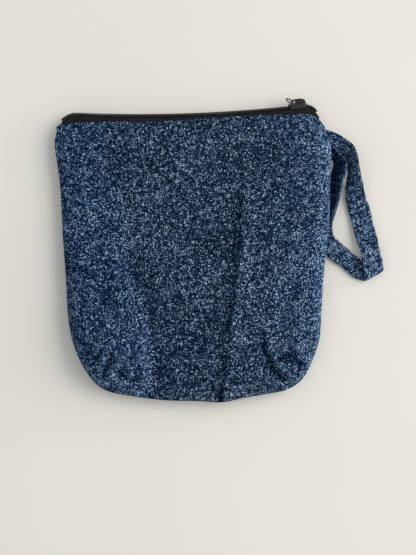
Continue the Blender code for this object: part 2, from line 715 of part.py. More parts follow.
def pull_axes():
    """Where the ring's wire passes under the crown, the wire's direction there, about which
    the ring swings, and the direction to the ring's far side."""
    middle, along_zip, across, out = slider_axes()
    bar_out = slider_levels()[1] + SLIDER_PLATE + PULL_ABOVE_PLATE
    (foot_x, foot_out), (leg_x, leg_out) = crown_profile()[1][:2]
    leg = foot_x + (leg_x - foot_x) * (bar_out - foot_out) / (leg_out - foot_out)
    bar = across * cos(PULL_ROLL) - out * sin(PULL_ROLL)
    rolled_out = out * cos(PULL_ROLL) + across * sin(PULL_ROLL)
    far = along_zip * cos(PULL_ANGLE) + rolled_out * sin(PULL_ANGLE)
    return slider_point(leg + PULL_WIRE / 2 + PULL_PLAY, 0.0, bar_out), bar, far


def make_pull_loop(mat):
    """The wire ring, closed on itself."""
    origin, bar, far = pull_axes()
    normal = np.cross(bar, far)
    line = []
    for i in range(PULL_STEPS):
        a = 2 * pi * i / PULL_STEPS
        line.append(origin + PULL_RADIUS * ((1 - cos(a)) * far + sin(a) * bar))
    count, sides = len(line), PULL_SIDES
    points = []
    for i in range(count):
        tangent = line[(i + 1) % count] - line[i - 1]
        tangent /= np.linalg.norm(tangent)
        beside = np.cross(normal, tangent)
        for j in range(sides):
            a = 2 * pi * j / sides
            points.append(line[i] + PULL_WIRE / 2 * (cos(a) * beside + sin(a) * normal))
    faces = []
    for i in range(count):
        for j in range(sides):
            a, b = i * sides, (i + 1) % count * sides
            k = (j + 1) % sides
            faces.append((a + j, a + k, b + k, b + j))
    obj = add_object("pull_loop", points, faces, mat)
    face_outward(obj)
    return obj


# The wrist strap

def strap_edges(steps):
    """Both edges of the strap in space, smoothed through the rulings."""
    root = np.append(scaled(STRAP_ROOT), 0.0)
    rulings = root + np.array(STRAP_RULINGS) * STRAP_UNIT
    return catmull_rom(rulings[:, 0], steps), catmull_rom(rulings[:, 1], steps)


def make_wrist_strap(mat):
    """The folded cloth strap as one ribbon with soft edges."""
    first, second = strap_edges(STRAP_STEPS)
    centre = (first + second) / 2
    tangent = np.gradient(centre, axis=0)
    half = (first - second) / 2
    normal = np.cross(tangent, half)
    normal /= np.linalg.norm(normal, axis=1)[:, None]
    width = np.linalg.norm(half, axis=1)[:, None]
    soft = STRAP_ROUNDING
    inner = half * (1 - soft / width)
    up, up_soft = normal * STRAP_THICKNESS / 2, normal * (STRAP_THICKNESS / 2 - soft)
    sides = [centre + inner + up, centre + half + up_soft, centre + half - up_soft,
             centre + inner - up, centre - inner - up, centre - half - up_soft,
             centre - half + up_soft, centre - inner + up]
    rings = list(np.stack(sides, axis=1))
    obj = sweep("wrist_strap", rings, mat)
    face_outward(obj)
    return obj


def main():
    clear_scene()
    denim = material("denim", DENIM_COLOUR, 0.9, 0.0)
    nylon = material("zip_nylon", ZIP_COLOUR, 0.6, 0.0)
    metal = material("slider_metal", SLIDER_COLOUR, 0.35, 0.7)
    make_front_panel(denim)
    make_back_panel(denim)
    for name, side in (("front", 1), ("back", -1)):
        face_outward(make_tape(name + "_tape", side, nylon))
        face_outward(make_coil(name + "_coil", side, nylon))
    make_slider_body(metal)
    make_slider_cap(metal)
    make_pull_loop(metal)
    make_wrist_strap(denim)


main()
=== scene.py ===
import json
from math import asin, ceil, cos, pi, radians, sin, tau

import bmesh
import bpy
import numpy as np
from mathutils import Matrix, Vector


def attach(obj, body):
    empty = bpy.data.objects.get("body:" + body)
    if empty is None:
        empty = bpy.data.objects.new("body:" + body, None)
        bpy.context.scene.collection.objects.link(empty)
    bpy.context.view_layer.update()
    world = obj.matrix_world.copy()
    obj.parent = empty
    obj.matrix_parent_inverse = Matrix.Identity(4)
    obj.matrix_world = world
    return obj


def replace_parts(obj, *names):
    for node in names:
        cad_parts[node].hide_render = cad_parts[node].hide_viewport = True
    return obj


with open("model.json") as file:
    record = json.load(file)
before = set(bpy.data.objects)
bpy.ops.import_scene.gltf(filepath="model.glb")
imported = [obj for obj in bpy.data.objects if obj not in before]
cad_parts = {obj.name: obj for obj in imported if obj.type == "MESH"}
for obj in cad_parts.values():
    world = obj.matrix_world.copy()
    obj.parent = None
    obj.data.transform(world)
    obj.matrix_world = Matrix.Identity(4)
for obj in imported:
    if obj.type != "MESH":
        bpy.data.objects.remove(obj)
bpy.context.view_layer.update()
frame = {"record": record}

# Looks of a zip pouch of speckled denim with a wrist strap, in metres.
# The sizes and curves down to the crest repeat those of the part's source, because the cloth
# and the zip follow the same lines, only finer. The folds here are sharper and more than in
# the source, and some of the strap's rulings lie closer to the photograph.

# The pouch as a whole
POUCH_WIDTH = 0.1948
POUCH_LENGTH = 0.1942
CLOTH = 0.0012
SEAM_HEIGHT = 0.0075
CLEARANCE = 0.0003

# Panels
FRONT_EDGE = 0.018
FRONT_HEIGHT = 0.0138
HEM_HEIGHT = 0.0134
HEM_EDGE = 0.014
HEM_BLEND = 0.030
BACK_EDGE = 0.012
STRAP_LIFT = 0.014
STRAP_LIFT_BELOW_ROOT = 0.0595
STRAP_LIFT_REACH = 0.034

# Soft folds of the front panel; the fades are shares of the half length, from full to none
LEFT_PUFF_RISE = 0.0050
LEFT_PUFF_FALL = 0.020
LEFT_PUFF_FADE = (-0.75, 0.35)
CREST_RISE = 0.0040
CREST_LEFT_RUN = 0.0085
CREST_RIGHT_RUN = 0.016
CREST_ROUNDING = 0.0008
CREST_FADE = (0.30, 0.68)
RIGHT_PUFF_RISE = 0.0024
RIGHT_PUFF_RUN = 0.0675
RIGHT_PUFF_FADE = (0.35, 0.90)

# Zip
ZIP_BOW_RADIUS = 0.9658
ZIP_BOW_X = -0.02375
ZIP_STANDS_OUT = 0.0055
ZIP_TILT = radians(25)
ZIP_LEFT_X = -0.0800
ZIP_LEFT_RADIUS = 0.0130
ZIP_LEFT_TURN = radians(63)
ZIP_RIGHT_X = 0.0800
ZIP_RIGHT_RADIUS = 0.0075
ZIP_RIGHT_TURN = radians(60)
TAPE_END_RUN = 0.0054
TAPE_END_INWARD = 0.0020
COIL_END_RUN = 0.0012
COIL_LEFT_SHORT = radians(12)
COIL_GAP = 0.0016
COIL_WIDTH = 0.0023
COIL_HEIGHT = 0.0019
COIL_SEAT = -0.0005
TAPE = 0.0005
TAPE_SLOT_REACH = 0.0047
TAPE_UNDER_HEM = 0.0060
TAPE_UNDER_HEM_AT_END = 0.0024
TAPE_INTO_HEM = 0.0010
TAPE_BACK_BEND = 0.0004
TAPE_END_EASE = 0.0011
END_FLATTENING = 0.5

# Slider, crown and pull
SLIDER_X = 0.0748
SLIDER_LENGTH = 0.0130
SLIDER_WIDTH = 0.0084
SLIDER_PLATE = 0.0011
SLIDER_FLANGE = 0.0007
SLIDER_RUN = 0.0004
POST_WIDTH = 0.0008
POST_LENGTH = 0.0025
CROWN_LEFT = -0.0050
CROWN_RIGHT = 0.0060
CROWN_RISE = 0.0028
CROWN_SLOPE = 0.0020
CROWN_WIDTH = 0.0014
CROWN_STRIP = 0.0012
PULL_WIRE = 0.0009
PULL_RADIUS = 0.0029
PULL_ROLL = radians(18)
PULL_ANGLE = radians(150)

# Outline of the pouch seen from above, as shares of the half width and the half length
LEFT_SEAM = [(-0.971, 0.983), (-0.989, 0.865), (-0.968, 0.740), (-0.939, 0.536),
             (-0.917, 0.206), (-0.888, -0.131), (-0.866, -0.414), (-0.817, -0.618)]
LEFT_CORNER = (-0.716, -0.806)
BOTTOM_SEAM = [(-0.601, -0.908), (-0.411, -0.952), (-0.169, -0.984), (0.052, -0.990),
               (0.205, -0.998), (0.370, -0.967), (0.565, -0.936), (0.678, -0.904)]
RIGHT_CORNER = (0.778, -0.822)
RIGHT_SEAM = [(0.854, -0.671), (0.893, -0.542), (0.907, -0.374), (0.932, -0.091),
              (0.971, 0.195), (0.992, 0.498), (1.006, 0.791), (0.995, 0.886),
              (0.970, 0.963), (0.936, 1.001)]
HEM_LINE = [(-0.971, 0.983), (-0.929, 0.992), (-0.850, 0.995), (-0.565, 1.003),
            (-0.277, 1.000), (0.000, 1.013), (0.431, 1.035), (0.719, 1.043),
            (0.821, 1.042), (0.888, 1.029), (0.936, 1.001)]
LEFT_VALLEY = [(-0.585, 0.720), (-0.450, 0.360), (-0.370, -0.130), (-0.310, -0.300),
               (-0.250, -0.620), (-0.240, -1.000)]
RIGHT_CREST = [(0.385, 0.700), (0.372, 0.400), (0.345, 0.090), (0.275, -0.490),
               (0.215, -1.000)]

# Folds of the cloth: their lines as shares, then half width and rise in millimetres
FOLDS = [
    ([(-0.600, -0.560), (-0.672, -0.649)], 2.2, 1.7),
    ([(-0.560, -0.600), (-0.581, -0.649), (-0.623, -0.778)], 2.2, 2.2),
    ([(-0.555, -0.640), (-0.568, -0.692), (-0.606, -0.790)], 1.5, -2.6),
    ([(-0.640, -0.660), (-0.676, -0.720)], 1.8, -1.8),
    ([(-0.720, -0.610), (-0.735, -0.660)], 2.4, -1.6),
    ([(-0.470, -0.660), (-0.510, -0.740), (-0.560, -0.803)], 2.4, 2.1),
    ([(-0.460, -0.740), (-0.500, -0.800)], 1.8, -1.4),
    ([(-0.370, -0.760), (-0.400, -0.855)], 2.4, -1.7),
    ([(0.485, -0.540), (0.495, -0.600), (0.515, -0.680), (0.560, -0.778), (0.620, -0.840)],
     1.7, -3.1),
    ([(0.520, -0.560), (0.545, -0.670), (0.600, -0.760), (0.660, -0.800)], 2.6, 1.2),
    ([(0.600, -0.705), (0.623, -0.688), (0.665, -0.680), (0.710, -0.700), (0.742, -0.726)],
     1.3, -2.6),
    ([(0.600, -0.660), (0.660, -0.630), (0.740, -0.660)], 2.4, 1.3),
    ([(0.690, -0.500), (0.720, -0.560), (0.757, -0.635)], 3.0, 1.8),
    ([(0.205, -0.900), (0.200, -1.000)], 2.4, -2.3),
]

# Wrist strap: its root as shares, then its edges in millimetres from that root
STRAP_THICKNESS = 0.0026
STRAP_ROOT = (1.0082, 0.7981)
STRAP_RULINGS = [
    ((-1.6, 12.6, 9.4), (0.7, 0.2, 9.0)),
    ((4.8, 9.2, 11.0), (4.6, -2.4, 6.6)),
    ((10.4, 4.6, 13.2), (7.8, -4.2, 3.4)),
    ((14.4, -0.4, 14.3), (10.6, -6.6, 2.2)),
    ((16.4, -7.2, 14.2), (11.8, -11.0, 1.8)),
    ((18.2, -15.4, 12.2), (11.3, -17.4, 1.6)),
    ((20.4, -24.0, 8.6), (9.8, -26.0, 1.6)),
    ((22.9, -32.2, 4.8), (9.6, -35.2, 1.7)),
    ((26.0, -41.8, 2.6), (12.0, -45.2, 1.7)),
    ((28.6, -55.2, 3.6), (14.6, -58.4, 2.8)),
    ((31.0, -67.6, 5.2), (18.0, -71.0, 4.7)),
    ((32.6, -77.6, 5.7), (20.0, -84.0, 5.5)),
    ((33.7, -82.6, 5.0), (20.7, -89.8, 4.9)),
    ((33.8, -84.4, 3.4), (20.6, -91.6, 3.4)),
    ((32.2, -84.6, 1.8), (19.0, -91.6, 1.8)),
    ((28.4, -83.6, 1.5), (15.8, -90.6, 1.5)),
    ((21.6, -79.4, 1.5), (11.4, -87.4, 1.5)),
    ((13.8, -72.8, 1.5), (5.0, -81.8, 1.5)),
    ((6.2, -66.4, 1.8), (-2.4, -76.0, 1.5)),
    ((0.6, -60.0, 2.4), (-6.8, -69.8, 1.5)),
    ((-0.4, -52.2, 4.4), (-7.0, -62.4, 1.6)),
    ((1.4, -44.2, 7.6), (-4.2, -54.0, 1.7)),
    ((3.6, -36.6, 10.8), (-1.9, -43.0, 2.4)),
    ((5.6, -28.6, 12.6), (-2.2, -34.0, 3.4)),
    ((7.8, -20.6, 13.2), (-1.8, -25.6, 4.2)),
    ((9.4, -13.6, 12.8), (-0.6, -18.6, 4.8)),
    ((8.6, -7.6, 10.6), (0.4, -14.4, 4.8)),
    ((5.4, -3.0, 8.0), (1.4, -11.4, 4.6)),
    ((0.9, 1.6, 5.2), (0.5, -7.6, 5.4)),
]

# Steps between the knots of curves and along the zip, and cells of the panels
MM = 0.001
OUTLINE_STEPS = 8
BEND_STEPS = 6
FOLD_STEPS = 4
TAPE_STEPS = 4
FINE_CELLS = 300
INNER_STEP = 5
EDGE_CROWDING = 0.6
ZIP_STEPS = 200
END_STEPS = 24

# Seams, hem, puckers beside the seams (drifts at the sides and below), and slight waves
SEAM_TUCK = 0.0007
SEAM_TUCK_HEIGHT = 0.0008
SEAM_TUCK_END = 0.985
HEM_ROLL = 0.0006
HEM_ROLL_RUN = 0.0013
PUCKER_RISE = 0.00035
PUCKER_START = 0.0015
PUCKER_REACH = 0.007
PUCKER_PITCH = 0.0085
PUCKER_SHIFT = 2.0
PUCKER_DRIFTS = (9, 11)
WAVES = [(0.070, 0.00024), (0.038, 0.00016), (0.021, 0.00010), (0.012, 0.00006)]
WAVE_COUNT = 3
WAVE_BEND = 0.25
WAVE_BEND_LENGTH = 2.3
WAVE_SEED = 3

# Painted light and shade on the denim, with some wear, paler above zero. Stripes: place right of
# the fold, reach and paleness
VALLEY_PAINTED_LIGHT = [(-0.008, 0.006, 0.055), (0.001, 0.003, -0.11)]
CREST_PAINTED_LIGHT = [(0.006, 0.006, 0.0275)]
# Painted shade on the crest's left flank, which faces away from the lamp
CREST_PAINTED_SHADE = -0.11
CREST_PAINTED_SHADE_REACH = 0.009
# Painted shade in sunk folds and painted highlight on risen folds, per millimetre of rise
PAINTED_SHADE_IN_FOLDS = 0.06
PAINTED_HIGHLIGHT_ON_FOLDS = 0.03
# Painted light at the right edge, which faces the lamp; paler towards the bottom edge
PAINTED_LIGHT_RIGHT_EDGE = 0.17
PALER_TOWARDS_BOTTOM = 0.06
PALE_EDGE_REACH = 0.008

# Bluer denim: from 0 grey to 1 blue, with the places beside the folds where it sets in. The blue
# beside the folds is painted light on slopes that face the lamp; at the right edge, a painted
# sheen
BLUE_MIDDLE = 0.32
BLUE_LEFT = (-0.010, 0.001)
PAINTED_LIGHT_BLUE_LEFT = 0.45
BLUE_RIGHT = (0.010, 0.040)
PAINTED_LIGHT_BLUE_RIGHT = 0.25
PAINTED_SHEEN_BLUE_EDGE = 0.6

# Strap: its ends in the seam as rulings, its section, the flutter of its edges as rise, length
# and phase, the groove of its stitches, its tone, and painted shade by ruling on its inner
# strand
STRAP_START = ((-4.4, 13.2, 7.5), (-1.8, 0.8, 7.5))
STRAP_END = ((-1.6, 1.8, 6.6), (-1.9, -7.4, 6.6))
STRAP_PRESSED = 0.45
STRAP_PRESSED_RUN = 0.007
STRAP_STEPS = 12
STRAP_SIDES = 36
STRAP_SQUARE_EDGE = 0.45
STRAP_SQUARE_FACE = 0.55
STRAP_FLUTTER = [(0.00018, 0.019, 0.0), (0.00012, 0.0083, 1.0)]
STRAP_GROOVE = 0.22
STRAP_GROOVE_REACH = 0.0006
STRAP_FACE = 0.75
STRAP_BLUE = 0.8
STRAP_PALE = 0.10
# Painted shade: darker near the root and on the inner strand, where shadow falls
STRAP_PAINTED_SHADE = [(0, 0.0), (2, -0.04), (5, 0.0), (18, 0.0), (22, -0.10), (24, -0.30), (28, -0.30),
              (30, -0.10)]

# Stitches on the strap, with the rise of the thread along one stitch as shares of its radius
STITCH_LENGTH = 0.0026
STITCH_PITCH = 0.0034
STITCH_THREAD = 0.00032
STITCH_INSET = 0.0019
STITCH_FIRST = 0.014
STITCH_LAST = 0.010
STITCH_RISE = (-0.9, 0.2, 0.75, 0.9, 0.75, 0.2, -0.9)

# Loose threads on the front, in millimetres of the plan
LOOSE_THREAD = 0.00035
LOOSE_THREADS = [
    [(53.2, 87.9), (53.8, 87.3), (54.3, 87.6)],
    # A white bit at the strap's root, partly a painted glint
    [(96.0, 70.4), (96.7, 70.9), (97.3, 70.8)],
    [(-3.1, -25.8), (-3.6, -29.0), (-3.2, -32.4), (-3.5, -36.2)],
]

# Coil: its turns, and the two rows of thread as shares of its width
COIL_PITCH = 0.0012
COIL_WIRE = 0.00056
COIL_NEARER = 0.00030
COIL_TURN_STEPS = 14
COIL_SQUARE = 0.75
COIL_THREAD = 0.00024
COIL_THREAD_WAVE = 0.45
COIL_THREAD_ROWS = (0.35, 0.68)

# Slider: the rounding of its plates and bars as shares, and the crown's bends as shares of its
# slope in from each end, with the depth below its top
PLATE_SIDES = 64
PLATE_SQUARE = 0.42
PLATE_TAIL = 0.90
PLATE_SHOULDER = 0.4
PLATE_SOFT = 0.42
FLANGE_INWARD = 0.97
FLANGE_REACH = 0.40
FLANGE_INTO_PLATE = 0.6
FLANGE_SOFT = 0.3
POST_SOFT = 0.2
BAR_SOFT = 0.6
SOFT_STEPS = 5
CROWN_LEFT_BEND = [(0.85, 0.00075), (1.2, 0.00015), (2.2, 0.0)]
CROWN_RIGHT_BEND = [(2.0, 0.0), (0.9, 0.0004), (0.35, 0.0014)]
CROWN_SIDES = 20
CROWN_SQUARE = 0.5
CROWN_FOOT = 0.0001
WEB_LEFT = -0.0014
WEB_WIDTH = 0.0011
WEB_SOFT = 0.0002
PULL_STEPS = 56

# Floor, lamp and world
FLOOR_SIZE = 3.0
FLOOR_LEVEL = -0.0002
LAMP_PLACE = (1.95, 0.30, 1.20)
LAMP_SIZE = 2.2
LAMP_POWER = 54.0
LAMP_COLOUR = (1.0, 0.99, 0.97)
WORLD_COLOUR = (0.94, 0.97, 1.0, 1.0)
WORLD_STRENGTH = 0.60

# Camera of the photograph: place, axes as rows, and focal length in pixels of its long side
CAMERA_PLACE = (0.0197, -0.0781, 0.5760)
CAMERA_AXES = [(0.99985, -0.00764, -0.01584),
               (0.00942, 0.99326, 0.11556),
               (0.01485, -0.11569, 0.99317)]
CAMERA_FOCAL_PIXELS = 834
PHOTO_LONG_SIDE = 555
SENSOR = 36.0


# Meshes

def linked(name, data):
    """An object of mesh, lamp or camera data, put in the scene."""
    obj = bpy.data.objects.new(name, data)
    bpy.context.scene.collection.objects.link(obj)
    return obj


def ride_mesh(name, points, faces, mat, body, uv=None, sharp=50):
    """A mesh object that rides on a CAD body, with cloth coordinates in metres if given."""
    mesh = bpy.data.meshes.new(name)
    mesh.from_pydata(np.asarray(points).tolist(), [], faces)
    mesh.materials.append(mat)
    mesh.shade_smooth()
    mesh.set_sharp_from_angle(angle=radians(sharp))
    if uv is not None:
        corners = np.zeros(len(mesh.loops), dtype=np.int32)
        mesh.loops.foreach_get("vertex_index", corners)
        layer = mesh.uv_layers.new(name="cloth")
        layer.data.foreach_set("uv", np.asarray(uv, dtype=np.float32)[corners].ravel())
    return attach(linked(name, mesh), body)


def face_outward(obj):
    """Turn the faces of closed shells outward."""
    bm = bmesh.new()
    bm.from_mesh(obj.data)
    bmesh.ops.recalc_face_normals(bm, faces=bm.faces)
    bm.to_mesh(obj.data)
    bm.free()
    return obj


def merged(shells):
    """Points and faces of several shells as one."""
    points, faces, start = [], [], 0
    for shell_points, shell_faces in shells:
        points.append(np.asarray(shell_points))
        faces += [tuple(i + start for i in face) for face in shell_faces]
        start += len(shell_points)
    return np.concatenate(points), faces


def grid_lengths(grid):
    """Cloth coordinates of a grid of points: lengths along its rows and columns, in metres."""
    s = np.linalg.norm(np.diff(grid, axis=1, prepend=grid[:, :1]), axis=2).cumsum(axis=1)
    t = np.linalg.norm(np.diff(grid, axis=0, prepend=grid[:1]), axis=2).cumsum(axis=0)
    middle_row, middle_column = grid.shape[0] // 2, grid.shape[1] // 2
    return np.dstack([s - s[:, [middle_column]], t - t[[middle_row]]]).reshape(-1, 2)


def closed_sheet(name, outer, inner, step, mat, body):
    """A closed sheet: a fine outer face, and an inner one of every step-th point."""
    inner = inner[::step, ::step]
    top = np.arange(outer.size // 3).reshape(outer.shape[:2])
    low = top.size + np.arange(inner.size // 3).reshape(inner.shape[:2])

    def quads(index, order):
        corners = [index[:-1, :-1], index[:-1, 1:], index[1:, 1:], index[1:, :-1]][::order]
        return np.stack(corners, axis=-1).reshape(-1, 4).tolist()

    faces = quads(top, 1) + quads(low, -1)
    sides = [(top[0], low[0]), (top[:, -1], low[:, -1]),
             (top[-1, ::-1], low[-1, ::-1]), (top[::-1, 0], low[::-1, 0])]
    for fine, coarse in sides:
        for k in range(len(coarse) - 1):
            run = fine[k * step:(k + 1) * step + 1][::-1].tolist()
            faces.append(run + [int(coarse[k]), int(coarse[k + 1])])
    points = np.concatenate([outer.reshape(-1, 3), inner.reshape(-1, 3)])
    uv = np.concatenate([grid_lengths(outer), grid_lengths(inner)])
    return ride_mesh(name, points, faces, mat, body, uv)


def band(first, second, size):
    """Faces between two rings of points, from the numbers of their first points."""
    return [(first + j, first + (j + 1) % size, second + (j + 1) % size, second + j)
            for j in range(size)]


def tube(line, radius, sides, closed=False):
    """Points and faces of a round tube along a line."""
    line = np.asarray(line, dtype=float)
    if closed:
        tangent = np.roll(line, -1, axis=0) - np.roll(line, 1, axis=0)
    else:
        tangent = np.gradient(line, axis=0)
    tangent = unit(tangent)
    beside = np.cross(tangent[0], [0.31, 0.55, 0.77])
    normals = []
    for t in tangent:
        beside = unit(beside - t * beside.dot(t))
        normals.append(beside)
    normals = np.array(normals)
    others = np.cross(tangent, normals)
    if closed:
        slip = np.arctan2(normals[-1].dot(others[0]), normals[-1].dot(normals[0]))
        turn = -slip * np.arange(len(line))[:, None] / len(line)
        normals, others = (normals * np.cos(turn) + others * np.sin(turn),
                           others * np.cos(turn) - normals * np.sin(turn))
    angles = tau * np.arange(sides) / sides
    rings = (line[:, None] + radius * (np.cos(angles)[None, :, None] * normals[:, None]
                                       + np.sin(angles)[None, :, None] * others[:, None]))
    count = len(line)
    faces = []
    for i in range(count if closed else count - 1):
        faces += band(i * sides, (i + 1) % count * sides, sides)
    if not closed:
        faces.append(tuple(range(sides - 1, -1, -1)))
        faces.append(tuple(range((count - 1) * sides, count * sides)))
    return rings.reshape(-1, 3), faces


def loft(rings):
    """Points and faces of a closed solid through rings of points."""
    size = len(rings[0])
    faces = [tuple(range(size - 1, -1, -1))]
    for i in range(len(rings) - 1):
        faces += band(i * size, (i + 1) * size, size)
    last = (len(rings) - 1) * size
    faces.append(tuple(range(last, last + size)))
    return np.concatenate(rings), faces


# Curves and profiles

def unit(vectors):
    """The vectors with their length made 1."""
    return vectors / np.linalg.norm(vectors, axis=-1, keepdims=True)


def catmull_rom(knots, steps):
    """Points of a smooth curve through the knots, with the same steps between each."""
    k = np.array(knots, dtype=float)
    k = np.concatenate([2 * k[:1] - k[1:2], k, 2 * k[-1:] - k[-2:-1]])
    points = []
    for a, b, c, d in zip(k, k[1:], k[2:], k[3:]):
        points += [0.5 * (2 * b + (c - a) * t + (2 * a - 5 * b + 4 * c - d) * t ** 2
                          + (3 * b - a - 3 * c + d) * t ** 3)
                   for t in np.arange(steps) / steps]
    points.append(k[-2])
    return np.array(points)


def sampled(at, run, rows):
    """Rows of numbers read at places along a run."""
    return np.stack([np.interp(at, run, column) for column in np.transpose(rows)], axis=-1)


def along(curve, shares):
    """Points of a curve at shares of its length."""
    run = run_of(curve)
    return sampled(shares, run / run[-1], curve)


def run_of(line):
    """Length of a line up to each of its points."""
    return np.concatenate([[0.0], np.cumsum(np.linalg.norm(np.diff(line, axis=0), axis=1))])


def inset(curve, distance):
    """The curve moved to its left by a distance, in plan."""
    d = unit(np.gradient(curve, axis=0))
    return curve + distance * np.stack([-d[:, 1], d[:, 0]], axis=-1)


def rounded(t):
    """Quarter ellipse: 0 at the seam, 1 and level from t = 1 on."""
    return np.sqrt(np.clip(1 - (1 - np.clip(t, 0, 1)) ** 2, 0, 1))


def smooth(low, high, x):
    """Smooth step from 0 at low to 1 at high."""
    t = np.clip((x - low) / (high - low), 0, 1)
    return t * t * (3 - 2 * t)


def hump(x, middle, reach):
    """1 at the middle, falling smoothly to 0 within about two reaches."""
    return np.exp(-((x - middle) / reach) ** 2)


def squarish(wave, power):
    """A sine or cosine pressed towards -1 and 1 by a power below 1."""
    return np.sign(wave) * np.abs(wave) ** power


def scaled(shares):
    """Outline shares as metres."""
    return np.array(shares) * [POUCH_WIDTH / 2, POUCH_LENGTH / 2]


def offset_from(line, x, y):
    """How far x lies to the right of a fold line at the height y of the plan."""
    knots = catmull_rom(scaled(line), BEND_STEPS)[::-1]
    return x - np.interp(y, knots[:, 1], knots[:, 0])


def line_distance(x, y, line):
    """Distance from plan points to a line of straight runs."""
    nearest = np.full(x.shape, np.inf)
    for (x0, y0), (x1, y1) in zip(line, line[1:]):
        dx, dy = x1 - x0, y1 - y0
        t = np.clip(((x - x0) * dx + (y - y0) * dy) / (dx * dx + dy * dy), 0, 1)
        nearest = np.minimum(nearest, np.hypot(x - x0 - t * dx, y - y0 - t * dy))
    return nearest


SEAM = catmull_rom(scaled(LEFT_SEAM + [LEFT_CORNER] + BOTTOM_SEAM + [RIGHT_CORNER] + RIGHT_SEAM),
                   OUTLINE_STEPS)
LEFT_END = len(LEFT_SEAM) * OUTLINE_STEPS
RIGHT_START = (len(LEFT_SEAM) + 1 + len(BOTTOM_SEAM)) * OUTLINE_STEPS
HEM = catmull_rom(scaled(HEM_LINE), OUTLINE_STEPS)


def patch_plan(u, v, seam_inset):
    """Plan points of a panel: u from 0 left to 1 right, v from 0 bottom to 1 zip."""
    seam = inset(SEAM, seam_inset)
    left = seam[:LEFT_END + 1][::-1]
    bottom = seam[LEFT_END:RIGHT_START + 1]
    right = seam[RIGHT_START:]
    span = (HEM[:, 0] - HEM[0, 0]) / (HEM[-1, 0] - HEM[0, 0])
    top = HEM + np.outer(1 - span, left[-1] - HEM[0]) + np.outer(span, right[-1] - HEM[-1])
    from_left, from_right = along(left, v), along(right, v)
    low, high = along(bottom, u), along(top, u)
    u, v = u[..., None], v[..., None]
    corners = ((1 - u) * (1 - v) * bottom[0] + u * (1 - v) * bottom[-1]
               + (1 - u) * v * top[0] + u * v * top[-1])
    return (1 - v) * low + v * high + (1 - u) * from_left + u * from_right - corners


# Cloth panels

def cloth_waves(x, y):
    """Slight waves that cloth lies in, from a few fixed directions."""
    random = np.random.default_rng(WAVE_SEED)
    waves = np.zeros(x.shape)
    for size, rise in WAVES:
        for angle in random.uniform(0, pi, WAVE_COUNT):
            phase = random.uniform(0, tau)
            beside = (x * sin(angle) - y * cos(angle)) / (WAVE_BEND_LENGTH * size)
            ahead = (x * cos(angle) + y * sin(angle)) / size
            bend = WAVE_BEND * np.sin(tau * beside)
            waves = waves + rise * np.sin(tau * (ahead + bend) + phase)
    return waves


def seam_puckers(u, v):
    """Small pinches beside the side and bottom seams, as a rise of the cloth."""
    def row(from_seam, share, length, drift):
        beat = np.sin(tau * share * length / PUCKER_PITCH + PUCKER_SHIFT * np.sin(drift * share))
        return np.exp(-from_seam / PUCKER_REACH) * smooth(0, PUCKER_START, from_seam) * beat

    side = row(np.minimum(u, 1 - u) * POUCH_WIDTH, v, POUCH_LENGTH, PUCKER_DRIFTS[0])
    low = row(v * POUCH_LENGTH, u, POUCH_WIDTH, PUCKER_DRIFTS[1])
    return PUCKER_RISE * (side + low)


def wrinkles(x, y):
    """Each small fold's rise in millimetres, and how much of it there is at the plan points."""
    for knots, reach, rise in FOLDS:
        line = catmull_rom(scaled(knots), FOLD_STEPS)
        yield rise, hump(line_distance(x, y, line), 0.0, reach * MM)


def front_crown(x, y):
    """Height of the front panel away from its edges, folds and all."""
    share = y / (POUCH_LENGTH / 2)
    from_valley = offset_from(LEFT_VALLEY, x, y)
    from_crest = offset_from(RIGHT_CREST, x, y)
    puff = 1 - smooth(-LEFT_PUFF_FALL, 0, from_valley)
    height = FRONT_HEIGHT + LEFT_PUFF_RISE * puff * (1 - smooth(*LEFT_PUFF_FADE, share))
    crest_run = np.where(from_crest < 0, CREST_LEFT_RUN, CREST_RIGHT_RUN)
    away = np.hypot(from_crest, CREST_ROUNDING) - CREST_ROUNDING
    crest = np.exp(-away / crest_run) * (1 - smooth(*CREST_FADE, share))
    swell = smooth(0, RIGHT_PUFF_RUN, from_crest) * (1 - smooth(*RIGHT_PUFF_FADE, share))
    height = height + CREST_RISE * crest + RIGHT_PUFF_RISE * swell
    for rise, there in wrinkles(x, y):
        height = height + rise * MM * there
    return height + cloth_waves(x, y)


def side_rise(share, left_reach, right_reach):
    """Quarter ellipses up from both sides, for shares of the width."""
    left, right = share * POUCH_WIDTH / left_reach, (1 - share) * POUCH_WIDTH / right_reach
    return rounded(left) * rounded(right)


def hem_height(x):
    """Top of the front hem above the floor: down to the seam at both ends of the zip."""
    rise = rounded((x - HEM[0, 0]) / HEM_EDGE) * rounded((HEM[-1, 0] - x) / HEM_EDGE)
    return SEAM_HEIGHT + (HEM_HEIGHT - SEAM_HEIGHT) * rise


def back_hem_height(x):
    """Inner face of the back panel at its hem: up to the seam at both ends of the zip."""
    share = (x - HEM[0, 0]) / (HEM[-1, 0] - HEM[0, 0])
    return SEAM_HEIGHT - (SEAM_HEIGHT - CLOTH) * side_rise(share, BACK_EDGE, BACK_EDGE)


def tucked(plan, u, v, cloth, height):
    """The plan pulled in at the seam, where the two panels are sewn together."""
    weight = hump(height, 0.0, SEAM_TUCK_HEIGHT) * (1 - smooth(SEAM_TUCK_END, 1.0, v))
    return plan + (patch_plan(u, v, cloth + SEAM_TUCK) - plan) * weight[..., None]


